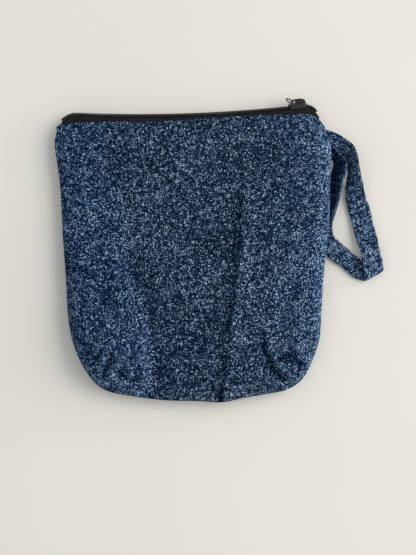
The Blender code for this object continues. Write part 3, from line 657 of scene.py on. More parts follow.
def front_layer(u, v, cloth):
    """The front panel's outer face, or its inner face when a cloth thickness is given."""
    seam = SEAM_HEIGHT + CLEARANCE / 2
    plan = patch_plan(u, v, cloth)
    x, y = plan[..., 0], plan[..., 1]
    sides = side_rise(u, FRONT_EDGE, FRONT_EDGE)
    bottom = rounded(v * POUCH_LENGTH / FRONT_EDGE)
    near_hem = smooth(1 - HEM_BLEND / POUCH_LENGTH, 1, v)
    body = (front_crown(x, y) - cloth - seam) * sides * bottom
    body = body + seam_puckers(u, v)
    hem_sides = np.where(v > 1 - 1e-9, 1.0, np.maximum(sides, near_hem))
    hem = np.clip((hem_height(x) - cloth - seam) * hem_sides, 0, None)
    z = seam + (1 - near_hem) * body + near_hem * hem
    if cloth == 0:
        z = z - HEM_ROLL * (1 - rounded((1 - v) * POUCH_LENGTH / HEM_ROLL_RUN))
        z = np.maximum(z, seam)
    plan = tucked(plan, u, v, cloth, z - seam)
    return np.dstack([plan, z])


def back_layer(u, v, cloth):
    """The back panel's outer face on the floor, or its inner face."""
    seam = SEAM_HEIGHT - CLEARANCE / 2
    plan = patch_plan(u, v, cloth)
    y = plan[..., 1]
    lift_y = scaled(STRAP_ROOT)[1] - STRAP_LIFT_BELOW_ROOT
    lift = 1 - smooth(0, STRAP_LIFT_REACH, np.abs(y - lift_y))
    sides = side_rise(u, BACK_EDGE, BACK_EDGE + STRAP_LIFT * lift)
    bottom = rounded(v * POUCH_LENGTH / BACK_EDGE)
    z = seam - (seam - cloth) * sides * bottom
    plan = tucked(plan, u, v, cloth, seam - z)
    return np.dstack([plan, z])


def panel_grid(cells):
    """Grid of u and v with its lines closer at the edges."""
    t = np.linspace(0, 1, cells + 1)
    line = t - EDGE_CROWDING * np.sin(tau * t) / tau
    return np.meshgrid(line, line)


def set_shade(piece, name, values):
    """A number at each point of a piece for the denim's colour, and 0 where none is given."""
    values = np.asarray(values, dtype=np.float32).ravel()
    layer = piece.data.attributes.new(name, "FLOAT", "POINT")
    layer.data.foreach_set("value", np.pad(values, (0, len(piece.data.vertices) - len(values))))


def painted_stripes(distance, table):
    """Painted light, and painted shade where below zero, in stripes beside a long fold, with
    some wear.
    """
    return sum(pale * hump(distance, middle, reach) for middle, reach, pale in table)


def fold_painted_light_and_wear(x, y):
    """Painted light and shade beside the folds, with some wear: paler, or darker below zero."""
    share = y / (POUCH_LENGTH / 2)
    from_valley, from_crest = offset_from(LEFT_VALLEY, x, y), offset_from(RIGHT_CREST, x, y)
    # Painted shade on the crest's left flank
    shade = CREST_PAINTED_SHADE * (1 - smooth(0.0, CREST_PAINTED_SHADE_REACH, -from_crest)) * (from_crest < 0)
    painted_light_and_wear = (shade + painted_stripes(from_crest, CREST_PAINTED_LIGHT)) * (1 - smooth(*CREST_FADE, share))
    painted_light_and_wear = painted_light_and_wear + painted_stripes(from_valley, VALLEY_PAINTED_LIGHT) * (1 - smooth(*LEFT_PUFF_FADE, share))
    # Painted shade in sunk folds, painted highlight on risen ones
    for rise, there in wrinkles(x, y):
        painted_light_and_wear = painted_light_and_wear + (PAINTED_SHADE_IN_FOLDS if rise < 0 else PAINTED_HIGHLIGHT_ON_FOLDS) * rise * there
    return painted_light_and_wear


def make_front_cloth(mat):
    """Front panel with its folds, puckers and rolled hem. Its outer face is given back."""
    u, v = panel_grid(FINE_CELLS)
    outer, inner = front_layer(u, v, 0.0), front_layer(u, v, CLOTH)
    piece = closed_sheet("front_cloth", outer, inner, INNER_STEP, mat, "pouch")
    x, y = outer[..., 0], outer[..., 1]
    # Painted light and sheen: paler and bluer towards the right edge, which faces the lamp.
    # Paler towards the bottom edge.
    edge = np.exp((u - 1) * POUCH_WIDTH / PALE_EDGE_REACH)
    low = np.exp(-v * POUCH_LENGTH / PALE_EDGE_REACH)
    set_shade(piece, "painted_light_and_wear", fold_painted_light_and_wear(x, y) + PAINTED_LIGHT_RIGHT_EDGE * edge + PALER_TOWARDS_BOTTOM * low)
    # Bluer where the slopes beside the folds face the lamp: painted light
    left = 1 - smooth(*BLUE_LEFT, offset_from(LEFT_VALLEY, x, y))
    right = smooth(*BLUE_RIGHT, offset_from(RIGHT_CREST, x, y))
    blue = BLUE_MIDDLE + PAINTED_LIGHT_BLUE_LEFT * left + PAINTED_LIGHT_BLUE_RIGHT * right + PAINTED_SHEEN_BLUE_EDGE * edge
    set_shade(piece, "blueness", np.clip(blue, 0, 1))
    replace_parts(piece, "front_panel")
    return outer


def make_back_cloth(mat):
    """Back panel, pressed flat by the floor and turned up to the seams."""
    u, v = panel_grid(FINE_CELLS // 2)
    u, v = u[:, ::-1], v[:, ::-1]
    outer, inner = back_layer(u, v, 0.0), back_layer(u, v, CLOTH)
    piece = closed_sheet("back_cloth", outer, inner, INNER_STEP, mat, "pouch")
    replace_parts(piece, "back_panel")


# Zip

ZIP_LOW_Y = POUCH_LENGTH / 2 + ZIP_STANDS_OUT
ZIP_CENTRE = np.array([ZIP_BOW_X, ZIP_LOW_Y + ZIP_BOW_RADIUS])


def zip_frame(x):
    """Plan point on the bowed zip line at x, and its outward direction."""
    lean = asin((x - ZIP_BOW_X) / ZIP_BOW_RADIUS)
    outward = np.array([-sin(lean), cos(lean)])
    return ZIP_CENTRE - ZIP_BOW_RADIUS * outward, outward


def turned(direction, angle):
    """A plan direction turned anticlockwise."""
    return np.array([direction[0] * cos(angle) - direction[1] * sin(angle),
                     direction[0] * sin(angle) + direction[1] * cos(angle)])


def zip_bend(x, radius, turn):
    """Plan point and outward direction after a turn at an end of the zip's bow."""
    point, outward = zip_frame(x)
    facing = turned(outward, turn)
    return point + radius * (facing - outward), facing


def zip_path(left_turn, right_run):
    """Stations along the zip from left to right: plan point, outward direction, how far into
    its end it is, from 0 to 1, and the X where its tape meets the hem."""
    left_hem = zip_bend(ZIP_LEFT_X, ZIP_LEFT_RADIUS, left_turn)[0][0] + TAPE_END_INWARD
    stations = []
    for i in range(END_STEPS, 0, -1):
        end = i / END_STEPS
        bend = zip_bend(ZIP_LEFT_X, ZIP_LEFT_RADIUS, left_turn * end)
        stations.append((*bend, end, ZIP_LEFT_X + (left_hem - ZIP_LEFT_X) * end))
    for x in np.linspace(ZIP_LEFT_X, ZIP_RIGHT_X, ZIP_STEPS + 1):
        stations.append((*zip_frame(x), 0.0, x))
    point, facing = zip_bend(ZIP_RIGHT_X, ZIP_RIGHT_RADIUS, -ZIP_RIGHT_TURN)
    last = point + right_run * np.array([facing[1], -facing[0]])
    right_hem = last[0] - TAPE_END_INWARD
    for i in range(1, END_STEPS + 1):
        end = i / (END_STEPS + 1)
        bend = zip_bend(ZIP_RIGHT_X, ZIP_RIGHT_RADIUS, -ZIP_RIGHT_TURN * i / END_STEPS)
        stations.append((*bend, end, ZIP_RIGHT_X + (right_hem - ZIP_RIGHT_X) * end))
    stations.append((last, facing, 1.0, right_hem))
    return stations


def place(point, outward, end, across, out):
    """Space points beside the chain: across it towards the front, and out from its middle."""
    across = across * (1 - (1 - END_FLATTENING) * end)
    reach = out * cos(ZIP_TILT) - across * sin(ZIP_TILT)
    return np.stack([point[..., 0] + reach * outward[..., 0],
                     point[..., 1] + reach * outward[..., 1],
                     SEAM_HEIGHT + out * sin(ZIP_TILT) + across * cos(ZIP_TILT)], axis=-1)


def tape_line(station, side):
    """A tape's section: under the coil, through the slider's slot and under its hem."""
    point, outward, end, hem_x = station
    seat = COIL_SEAT - CLEARANCE - TAPE / 2
    line = [place(point, outward, end, side * across, seat)
            for across in (COIL_GAP / 2, COIL_GAP / 2 + COIL_WIDTH, TAPE_SLOT_REACH)]
    hem = np.array([hem_x, np.interp(hem_x, HEM[:, 0], HEM[:, 1]) - TAPE_INTO_HEM])
    under_hem = TAPE_UNDER_HEM + (TAPE_UNDER_HEM_AT_END - TAPE_UNDER_HEM) * end
    back = np.array([0.0, -under_hem])
    bend = hem if side > 0 else point + TAPE_BACK_BEND * outward
    ease = CLEARANCE + TAPE / 2 + TAPE_END_EASE * end
    for plan in (bend, hem + back / 2, hem + back):
        over = float(hem_height(plan[0])) - CLOTH - ease
        under = float(back_hem_height(plan[0])) + ease
        line.append(np.array([plan[0], plan[1], over if side > 0 else under]))
    if side < 0:
        line[3][2] = min(line[3][2], line[2][2] - 2 * TAPE)
    return np.array(line)


def make_tape(name, side, node, mat):
    """One woven zip tape, from beside the middle of the chain to under its panel's hem."""
    stations = zip_path(ZIP_LEFT_TURN, TAPE_END_RUN)
    middle = np.array([tape_line(station, side) for station in stations])
    middle = catmull_rom(middle.transpose(1, 0, 2), TAPE_STEPS).transpose(1, 0, 2)
    normal = unit(np.cross(np.gradient(middle, axis=0), np.gradient(middle, axis=1)))
    upper, lower = middle + normal * TAPE / 2, middle - normal * TAPE / 2
    piece = face_outward(closed_sheet(name, upper, lower, 1, mat, "pouch"))
    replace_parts(piece, node)


def chain_lines(left_turn, right_run, spacing):
    """Evenly spaced stations of the chain as arrays: plan points, outward directions, ends."""
    stations = zip_path(left_turn, right_run)
    points, outward, end = (np.array([station[i] for station in stations]) for i in range(3))
    run = run_of(points)
    at = np.linspace(0, run[-1], ceil(run[-1] / spacing) + 1)
    return at, sampled(at, run, points), sampled(at, run, outward), np.interp(at, run, end)


def make_coil(name, side, node, mat):
    """One coil of the chain, with the two rows of thread that hold it to its tape."""
    at, points, outward, end = chain_lines(ZIP_LEFT_TURN - COIL_LEFT_SHORT, COIL_END_RUN,
                                           COIL_PITCH / COIL_TURN_STEPS)
    near, far = COIL_GAP / 2 - COIL_NEARER, COIL_GAP / 2 + COIL_WIDTH
    half_wide = (far - near - COIL_WIRE) / 2
    half_high = (COIL_HEIGHT - COIL_WIRE) / 2
    angle = tau * at / COIL_PITCH + (0 if side > 0 else pi)
    across = (near + far) / 2 + half_wide * squarish(np.cos(angle), COIL_SQUARE)
    out = COIL_SEAT + COIL_HEIGHT / 2 + half_high * squarish(np.sin(angle), COIL_SQUARE)
    shells = [tube(place(points, outward, end, side * across, out), COIL_WIRE / 2, 8)]
    thread_out = COIL_SEAT + COIL_HEIGHT - COIL_THREAD * (1 - COIL_THREAD_WAVE * np.sin(angle))
    for share in COIL_THREAD_ROWS:
        across = side * (near + (far - near) * share)
        thread = place(points, outward, end, across, thread_out)
        shells.append(tube(thread[::2], COIL_THREAD / 2, 6))
    piece = ride_mesh(name, *merged(shells), mat, "pouch", sharp=80)
    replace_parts(piece, node)


# Slider

def slider_axes():
    """Middle of the slider on the chain, and its directions along, across and out."""
    point, outward = zip_frame(SLIDER_X)
    along_zip = np.array([outward[1], -outward[0], 0.0])
    out = np.array([outward[0] * cos(ZIP_TILT), outward[1] * cos(ZIP_TILT), sin(ZIP_TILT)])
    across = np.cross(out, along_zip)
    across = across if across[2] > 0 else -across
    return np.array([point[0], point[1], SEAM_HEIGHT]), along_zip, across, out


def slider_points(places):
    """Space points from places on the slider: along, across and out."""
    middle, along_zip, across, out = slider_axes()
    return middle + np.asarray(places) @ np.array([along_zip, across, out])


def slider_levels():
    """Heights of the slider's inner faces above and below the chain."""
    upper = COIL_SEAT + COIL_HEIGHT + SLIDER_RUN
    lower = COIL_SEAT - CLEARANCE - TAPE - SLIDER_RUN
    return lower, upper


def plate_outline(shrink):
    """Rounded plan of a plate: narrower at the tail, with shoulders at the mouth."""
    half = SLIDER_LENGTH / 2 - shrink
    angles = tau * np.arange(PLATE_SIDES) / PLATE_SIDES
    x = half * squarish(np.cos(angles), PLATE_SQUARE)
    taper = PLATE_TAIL + (1 - PLATE_TAIL) * smooth(-half, half * PLATE_SHOULDER, x)
    y = (SLIDER_WIDTH / 2 * taper - shrink) * squarish(np.sin(angles), PLATE_SQUARE)
    return list(zip(x, y))


def softened_block(outline, low, high, soft):
    """A block on the slider with rounded edges. outline(shrink) gives its plan."""
    levels = [(soft * (1 - sin(a)), soft * (1 - cos(a)))
              for a in np.linspace(0, pi / 2, SOFT_STEPS)]
    rings = [slider_points([(x, y, low + rise) for x, y in outline(shrink)])
             for shrink, rise in levels]
    rings += [slider_points([(x, y, high - rise) for x, y in outline(shrink)])
              for shrink, rise in levels[::-1]]
    return loft(rings)


def bar_outline(left, right, low, high):
    """Plan of a straight bar with rounded corners, as a function of how far it shrinks."""
    middle = np.array([left + right, low + high]) / 2
    half = np.array([right - left, high - low]) / 2

    def outline(shrink):
        soft = (min(half) - shrink) * BAR_SOFT
        points = []
        for quarter in range(4):
            start = quarter * pi / 2
            side = np.sign([cos(start + pi / 4), sin(start + pi / 4)])
            corner = middle + side * (half - shrink - soft)
            points += [corner + soft * np.array([cos(start + a), sin(start + a)])
                       for a in np.linspace(0, pi / 2, SOFT_STEPS)]
        return points
    return outline


def make_slider(mat):
    """Both plates with rounded edges, the side flanges and the post."""
    lower, upper = slider_levels()
    soft = SLIDER_PLATE * PLATE_SOFT
    shells = [softened_block(plate_outline, upper, upper + SLIDER_PLATE, soft),
              softened_block(plate_outline, lower - SLIDER_PLATE, lower, soft)]
    reach = SLIDER_LENGTH * FLANGE_REACH
    flange_low = COIL_SEAT - CLEARANCE + SLIDER_RUN
    for side in (1, -1):
        near = side * (SLIDER_WIDTH / 2 - SLIDER_FLANGE) * FLANGE_INWARD
        far = side * (SLIDER_WIDTH / 2) * FLANGE_INWARD
        rail = bar_outline(-reach, reach, min(near, far), max(near, far))
        shells.append(softened_block(rail, flange_low, upper + SLIDER_PLATE * FLANGE_INTO_PLATE,
                                     SLIDER_FLANGE * FLANGE_SOFT))
    right = SLIDER_LENGTH / 2 - SLIDER_PLATE
    post = bar_outline(right - POST_LENGTH, right, -POST_WIDTH / 2, POST_WIDTH / 2)
    shells.append(softened_block(post, lower - SLIDER_PLATE / 2, upper + SLIDER_PLATE / 2,
                                 POST_WIDTH * POST_SOFT))
    piece = face_outward(ride_mesh("slider_plates", *merged(shells), mat, "slider", sharp=45))
    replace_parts(piece, "slider_body")


def make_crown(mat):
    """The crown: a bent strip with rounded edges that stands on the top plate, and the web that
    closes its right part."""
    foot = slider_levels()[1] + SLIDER_PLATE
    half_strip = CROWN_STRIP / 2
    top = foot + CLEARANCE + CROWN_RISE - half_strip
    knots = [(CROWN_LEFT + half_strip, foot + CROWN_FOOT)]
    knots += [(CROWN_LEFT + share * CROWN_SLOPE, top - below)
              for share, below in CROWN_LEFT_BEND]
    knots += [(CROWN_RIGHT - share * CROWN_SLOPE, top - below)
              for share, below in CROWN_RIGHT_BEND]
    knots.append((CROWN_RIGHT - half_strip, foot + CROWN_FOOT))
    line = catmull_rom(knots, BEND_STEPS)
    step = unit(np.gradient(line, axis=0))
    angles = tau * np.arange(CROWN_SIDES) / CROWN_SIDES
    across = CROWN_WIDTH / 2 * squarish(np.cos(angles), CROWN_SQUARE)
    up = half_strip * squarish(np.sin(angles), CROWN_SQUARE)
    rings = [slider_points(np.stack([x - dn * up, across, n + dx * up], axis=-1))
             for (x, n), (dx, dn) in zip(line, step)]
    web = bar_outline(WEB_LEFT, CROWN_RIGHT - CROWN_STRIP, -WEB_WIDTH / 2, WEB_WIDTH / 2)
    shells = [loft(rings),
              softened_block(web, foot - CROWN_FOOT, top - half_strip * BAR_SOFT, WEB_SOFT)]
    piece = face_outward(ride_mesh("slider_crown", *merged(shells), mat, "slider"))
    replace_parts(piece, "slider_cap")


def make_pull(mat):
    """The wire ring in the crown, which swings about its wire there, the joint's axis."""
    joint = next(j for j in frame["record"]["behaviour"]["joints"] if j["name"] == "pull_tip")
    origin, bar = np.array(joint["pos_m"]), np.array(joint["axis"])
    _, along_zip, across, out = slider_axes()
    rolled_out = out * cos(PULL_ROLL) + across * sin(PULL_ROLL)
    far = along_zip * cos(PULL_ANGLE) + rolled_out * sin(PULL_ANGLE)
    turns = tau * np.arange(PULL_STEPS)[:, None] / PULL_STEPS
    line = origin + PULL_RADIUS * ((1 - np.cos(turns)) * far + np.sin(turns) * bar)
    piece = ride_mesh("pull_wire", *tube(line, PULL_WIRE / 2, 14, closed=True), mat, "pull")
    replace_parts(face_outward(piece), "pull_loop")


# Wrist strap

def strap_frames(steps):
    """Centre, half width vector and normal of the strap, along its length."""
    root = np.append(scaled(STRAP_ROOT), 0.0)
    rulings = root + np.array([STRAP_START, *STRAP_RULINGS, STRAP_END]) * MM
    first, second = catmull_rom(rulings[:, 0], steps), catmull_rom(rulings[:, 1], steps)
    centre, half = (first + second) / 2, (first - second) / 2
    return centre, half, unit(np.cross(np.gradient(centre, axis=0), half))


def make_strap(mat):
    """The folded cloth strap: flat, with soft edges and a sunk line where it is stitched."""
    centre, half, normal = strap_frames(STRAP_STEPS)
    wide = np.linalg.norm(half, axis=1)
    run = run_of(centre)
    angles = tau * np.arange(STRAP_SIDES) / STRAP_SIDES
    across = squarish(np.cos(angles), STRAP_SQUARE_EDGE)
    up = squarish(np.sin(angles), STRAP_SQUARE_FACE)
    flutter = sum(rise * np.sin(tau * run / length + phase)
                  for rise, length, phase in STRAP_FLUTTER)
    from_end = np.minimum(run, run[-1] - run)
    full = STRAP_PRESSED + (1 - STRAP_PRESSED) * smooth(0, STRAP_PRESSED_RUN, from_end)
    rings = []
    for i in range(len(centre)):
        groove = hump((1 - across) * wide[i], STITCH_INSET, STRAP_GROOVE_REACH)
        height = up * STRAP_THICKNESS / 2 * (1 - STRAP_GROOVE * groove) * full[i]
        reach = across * (1 + flutter[i] / wide[i])
        rings.append(centre[i] + reach[:, None] * half[i] + height[:, None] * normal[i])
    points, faces = loft(rings)
    grid = np.array([np.vstack([ring, ring[:1]]) for ring in rings])
    uv = grid_lengths(grid).reshape(len(rings), -1, 2)[:, :-1].reshape(-1, 2)
    piece = face_outward(ride_mesh("strap_cloth", points, faces, mat, "pouch", uv))
    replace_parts(piece, "wrist_strap")
    # Painted shade by ruling on the strap's faces, darkest on the inner strand, on a paler tone
    # for the whole strap
    places = np.arange(len(centre)) / STRAP_STEPS
    shade = np.interp(places, *np.transpose(STRAP_PAINTED_SHADE))
    on_face = 1 - smooth(STRAP_FACE, 1.0, np.abs(across))
    set_shade(piece, "painted_light_and_wear", STRAP_PALE + np.outer(shade, on_face))
    set_shade(piece, "blueness", np.full(len(points), STRAP_BLUE))


def make_strap_stitches(mat):
    """One row of stitches on each face of the strap, beside the edge that closes it."""
    centre, half, normal = strap_frames(STRAP_STEPS)
    run = run_of(centre)
    wide = np.linalg.norm(half, axis=1)
    level = (STRAP_THICKNESS * (1 - STRAP_GROOVE) + np.array(STITCH_RISE) * STITCH_THREAD) / 2
    shells = []
    for start in np.arange(STITCH_FIRST, run[-1] - STITCH_LAST, STITCH_PITCH):
        at = start + np.linspace(0, STITCH_LENGTH, len(STITCH_RISE))
        side = sampled(at, run, half / wide[:, None])
        reach = np.interp(at, run, wide) - STITCH_INSET
        row = sampled(at, run, centre) + side * reach[:, None]
        for face in (1, -1):
            line = row + face * sampled(at, run, normal) * level[:, None]
            shells.append(tube(line, STITCH_THREAD / 2, 6))
    ride_mesh("strap_stitches", *merged(shells), mat, "pouch", sharp=80)


def make_loose_threads(front_face, mats):
    """Bits of thread that lie on the front: a tan one, a white one and a long faint one. The
    white one is partly a painted glint at the strap's root.
    """
    cloth = front_face.reshape(-1, 3)
    for name, knots, mat in zip(("lint", "thread_tick_glint", "thread_end"), LOOSE_THREADS, mats):
        plan = catmull_rom(np.array(knots) * MM, FOLD_STEPS)
        line = []
        for x, y in plan:
            nearest = np.argmin((cloth[:, 0] - x) ** 2 + (cloth[:, 1] - y) ** 2)
            line.append((x, y, cloth[nearest, 2] + LOOSE_THREAD * 0.4))
        piece = ride_mesh(name, *tube(line, LOOSE_THREAD / 2, 6), mat, "pouch", sharp=80)
        face_outward(piece)


# Materials

def srgb(red, green, blue):
    """A colour written as 0 to 255, as the linear colour a shader takes."""
    shares = [c / 255 for c in (red, green, blue)]
    return (*(c / 12.92 if c <= 0.04045 else ((c + 0.055) / 1.055) ** 2.4 for c in shares), 1.0)


class Look:
    """A node material in the making."""

    def __init__(self, name):
        self.mat = bpy.data.materials.new(name)
        self.mat.use_nodes = True
        self.nodes = self.mat.node_tree.nodes
        self.links = self.mat.node_tree.links
        self.shader = self.nodes["Principled BSDF"]

    def feed(self, socket, value):
        """Link a socket or set its value."""
        if isinstance(value, bpy.types.NodeSocket):
            self.links.new(value, socket)
        else:
            socket.default_value = value

    def node(self, kind, inputs, **settings):
        """A node with its settings and its inputs by name or number."""
        made = self.nodes.new(kind)
        for key, value in settings.items():
            setattr(made, key, value)
        for key, value in inputs.items():
            self.feed(made.inputs[key], value)
        return made

    def on_cloth(self):
        """Coordinates in metres along the cloth."""
        return self.node("ShaderNodeUVMap", {}, uv_map="cloth").outputs[0]

    def on_object(self):
        """Coordinates in metres in the object's own space."""
        return self.node("ShaderNodeTexCoord", {}).outputs["Object"]

    def shade(self, name):
        """A number that set_shade wrote at the piece's points."""
        return self.node("ShaderNodeAttribute", {}, attribute_name=name).outputs["Fac"]

    def math(self, operation, first, second=0.0, third=0.0):
        """A sum, product or other function of numbers."""
        inputs = {0: first, 1: second, 2: third}
        return self.node("ShaderNodeMath", inputs, operation=operation).outputs[0]

    def stretched(self, vector, scales):
        """Coordinates times a scale for each axis."""
        inputs = {0: vector, 1: scales}
        return self.node("ShaderNodeVectorMath", inputs, operation="MULTIPLY").outputs[0]

    def noise(self, vector, scale, detail=2.0, roughness=0.5):
        """Smooth noise from 0 to 1."""
        inputs = {"Vector": vector, "Scale": scale, "Detail": detail, "Roughness": roughness}
        return self.node("ShaderNodeTexNoise", inputs).outputs["Fac"]

    def cells(self, vector):
        """A random number for each irregular cell, about one unit wide."""
        made = self.node("ShaderNodeTexVoronoi", {"Vector": vector, "Scale": 1.0})
        return self.node("ShaderNodeSeparateColor", {0: made.outputs["Color"]}).outputs[0]

    def ramp(self, value, places, colours):
        """A colour for a number, from colours written as 0 to 255 and their places."""
        made = self.node("ShaderNodeValToRGB", {0: value})
        elements = made.color_ramp.elements
        while len(elements) < len(places):
            elements.new(0.5)
        for element, position, colour in zip(elements, places, colours):
            element.position = position
            element.color = srgb(*colour)
        return made.outputs[0]

    def bump(self, height, distance):
        """Relief from a height."""
        inputs = {"Height": height, "Distance": distance, "Strength": 1.0}
        return self.node("ShaderNodeBump", inputs).outputs[0]

    def finish(self, **sockets):
        """Set the shader's own sockets, with spaces written as underscores."""
        for name, value in sockets.items():
            self.feed(self.shader.inputs[name.replace("_", " ")], value)
        return self.mat


def weave(look, cloth, pitch):
    """Height of a plain weave: threads over and under each other."""
    split = look.node("ShaderNodeSeparateXYZ", {0: cloth})
    warp = look.math("SINE", look.math("MULTIPLY", split.outputs[0], pi / pitch))
    weft = look.math("SINE", look.math("MULTIPLY", split.outputs[1], pi / pitch))
    return look.math("ABSOLUTE", look.math("MULTIPLY", warp, weft))


def denim_look():
    """Heathered denim: short threads from near black to nearly white over a plain weave."""
    look = Look("speckled_denim")
    cloth = look.on_cloth()
    close, long, round_cells, level, pitch = 2100.0, 700.0, 1450.0, -0.65, 0.00075
    warp = look.cells(look.stretched(cloth, (close, long, 1.0)))
    weft = look.cells(look.stretched(cloth, (long, close, 1.0)))
    spots = look.cells(look.stretched(cloth, (round_cells, round_cells, 1.0)))
    fine = look.noise(cloth, 1800.0, 2.0, 0.6)
    clumps = look.noise(cloth, 150.0, 3.0, 0.65)
    broad = look.noise(cloth, 22.0, 2.0, 0.5)
    # Painted light and shade, with some wear, shift the denim paler or darker
    value = look.math("ADD", look.shade("painted_light_and_wear"), level)
    for part, weight in ((warp, 0.50), (weft, 0.46), (spots, 0.46), (fine, 0.34),
                         (clumps, 0.34), (broad, 0.20)):
        value = look.math("MULTIPLY_ADD", part, weight, value)
    places = (0.20, 0.50, 0.65, 0.78, 0.96)
    grey = look.ramp(value, places, [(2, 11, 22), (12, 29, 50), (30, 51, 76), (76, 100, 123),
                                     (176, 194, 206)])
    blue = look.ramp(value, places, [(2, 14, 34), (10, 36, 71), (26, 59, 101), (70, 107, 147),
                                     (166, 194, 216)])
    # Mixed towards blue by the painted light beside the folds and the painted sheen at the right
    # edge
    inputs = {0: look.shade("blueness"), 6: grey, 7: blue}
    colour = look.node("ShaderNodeMix", inputs, data_type="RGBA").outputs[2]
    height = look.math("MULTIPLY_ADD", weave(look, cloth, pitch), 0.5, spots)
    height = look.math("MULTIPLY_ADD", fine, 0.8, height)
    return look.finish(Base_Color=colour, Roughness=0.95, Normal=look.bump(height, 0.00022),
                       Specular_IOR_Level=0.06)


def tape_look():
    """Charcoal tape of fine twill."""
    look = Look("twill_tape")
    cloth, rib_pitch = look.on_cloth(), 0.0007
    split = look.node("ShaderNodeSeparateXYZ", {0: cloth})
    slope = look.math("ADD", split.outputs[0], split.outputs[1])
    ribs = look.math("SINE", look.math("MULTIPLY", slope, tau / rib_pitch))
    grain = look.noise(cloth, 1100.0, 3.0, 0.6)
    patches = look.noise(cloth, 160.0, 2.0, 0.5)
    value = look.math("MULTIPLY_ADD", ribs, 0.10, look.math("MULTIPLY", grain, 0.7))
    value = look.math("MULTIPLY_ADD", patches, 0.4, value)
    colour = look.ramp(value, (0.30, 0.55, 0.80), [(9, 7, 11), (22, 19, 25), (42, 39, 47)])
    height = look.math("MULTIPLY_ADD", ribs, 0.5, grain)
    return look.finish(Base_Color=colour, Roughness=0.85, Normal=look.bump(height, 0.00008),
                       Specular_IOR_Level=0.18)


def coil_look():
    """Black nylon, slightly worn in small random patches."""
    look = Look("coil_nylon")
    place_on = look.on_object()
    grain = look.noise(place_on, 900.0, 3.0, 0.6)
    colour = look.ramp(grain, (0.3, 0.7), [(8, 7, 10), (30, 27, 34)])
    rough = look.math("MULTIPLY_ADD", grain, 0.25, 0.32)
    return look.finish(Base_Color=colour, Roughness=rough, Normal=look.bump(grain, 0.00003))


def metal_look(name, dark, light):
    """Dark enamelled metal with rubbed edges and a slightly uneven gloss."""
    look = Look(name)
    place_on = look.on_object()
    grain = look.noise(place_on, 700.0, 4.0, 0.6)
    smudges = look.noise(place_on, 240.0, 2.0, 0.5)
    edges = look.node("ShaderNodeNewGeometry", {}).outputs["Pointiness"]
    worn = look.math("MULTIPLY", look.math("SUBTRACT", edges, 0.52), 4.0)
    value = look.math("ADD", grain, worn)
    colour = look.ramp(value, (0.35, 0.75), [dark, light])
    rough = look.math("MULTIPLY_ADD", smudges, 0.25, 0.24)
    return look.finish(Base_Color=colour, Metallic=0.35, Roughness=rough,
                       Normal=look.bump(grain, 0.00002), Coat_Weight=0.25, Coat_Roughness=0.2)


def thread_look(name, dark, light):
    """Twisted sewing thread."""
    look = Look(name)
    place_on = look.on_object()
    fibres = look.noise(place_on, 2500.0, 2.0, 0.6)
    colour = look.ramp(fibres, (0.35, 0.65), [dark, light])
    return look.finish(Base_Color=colour, Roughness=0.8, Normal=look.bump(fibres, 0.00005))


# Floor, light and camera

def make_floor():
    """A plain pale floor."""
    look = Look("pale_floor")
    mottle = look.noise(look.on_object(), 6.0, 3.0, 0.5)
    colour = look.ramp(mottle, (0.3, 0.7), [(230, 226, 216), (233, 229, 221)])
    mesh = bpy.data.meshes.new("floor")
    corners = [(-1, -1), (1, -1), (1, 1), (-1, 1)]
    mesh.from_pydata([(FLOOR_SIZE * x, FLOOR_SIZE * y, FLOOR_LEVEL) for x, y in corners], [],
                     [(0, 1, 2, 3)])
    mat = look.finish(Base_Color=colour, Roughness=0.95, Specular_IOR_Level=0.02)
    mesh.materials.append(mat)
    linked("floor", mesh)


def make_lamp():
    """A wide soft lamp at the right, towards the pouch."""
    lamp = bpy.data.lights.new("key_lamp", "AREA")
    lamp.shape = "SQUARE"
    lamp.size = LAMP_SIZE
    lamp.energy = LAMP_POWER
    lamp.color = LAMP_COLOUR
    obj = linked("key_lamp", lamp)
    obj.location = LAMP_PLACE
    obj.rotation_euler = (-Vector(LAMP_PLACE)).to_track_quat("-Z", "Y").to_euler()


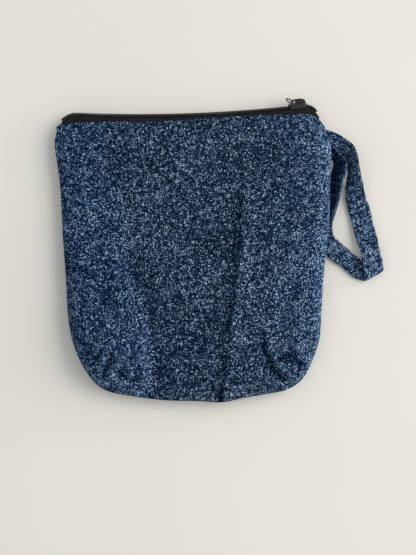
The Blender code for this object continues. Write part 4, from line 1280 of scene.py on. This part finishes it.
def make_world():
    """Even light from all round, and a pale background behind the floor."""
    world = bpy.data.worlds.new("studio")
    world.use_nodes = True
    nodes, links = world.node_tree.nodes, world.node_tree.links
    ground = nodes["Background"]
    ground.inputs["Color"].default_value = WORLD_COLOUR
    ground.inputs["Strength"].default_value = WORLD_STRENGTH
    shown = nodes.new("ShaderNodeBackground")
    shown.inputs["Color"].default_value = srgb(232, 230, 224)
    shown.inputs["Strength"].default_value = 1.0
    rays = nodes.new("ShaderNodeLightPath")
    mix = nodes.new("ShaderNodeMixShader")
    links.new(rays.outputs["Is Camera Ray"], mix.inputs[0])
    links.new(ground.outputs[0], mix.inputs[1])
    links.new(shown.outputs[0], mix.inputs[2])
    links.new(mix.outputs[0], nodes["World Output"].inputs["Surface"])
    bpy.context.scene.world = world


def make_camera():
    """The photograph's camera."""
    data = bpy.data.cameras.new("camera")
    data.sensor_width = SENSOR
    data.lens = CAMERA_FOCAL_PIXELS * SENSOR / PHOTO_LONG_SIDE
    data.clip_start = 0.01
    camera = linked("camera", data)
    axes = Matrix(CAMERA_AXES).transposed().to_4x4()
    camera.matrix_world = Matrix.Translation(CAMERA_PLACE) @ axes
    bpy.context.scene.camera = camera


def main():
    bpy.context.scene.view_settings.view_transform = "Standard"
    denim = denim_look()
    tape = tape_look()
    coil = coil_look()
    metal = metal_look("slider_enamel", (16, 14, 18), (50, 46, 52))
    wire = metal_look("pull_enamel", (14, 12, 14), (44, 40, 44))
    thread = thread_look("navy_thread", (16, 26, 48), (40, 60, 96))

    front_face = make_front_cloth(denim)
    make_back_cloth(denim)
    make_tape("front_tape_cloth", 1, "front_tape", tape)
    make_tape("back_tape_cloth", -1, "back_tape", tape)
    make_coil("front_coil_turns", 1, "front_coil", coil)
    make_coil("back_coil_turns", -1, "back_coil", coil)
    make_slider(metal)
    make_crown(metal)
    make_pull(wire)
    make_strap(denim)
    make_strap_stitches(thread)
    loose = [thread_look("tan_thread", (150, 122, 84), (196, 168, 128)),
             thread_look("white_glint_thread", (186, 196, 204), (232, 238, 240)),
             thread_look("pale_thread", (82, 104, 126), (130, 150, 168))]
    make_loose_threads(front_face, loose)

    make_floor()
    make_world()
    make_lamp()
    make_camera()


main()
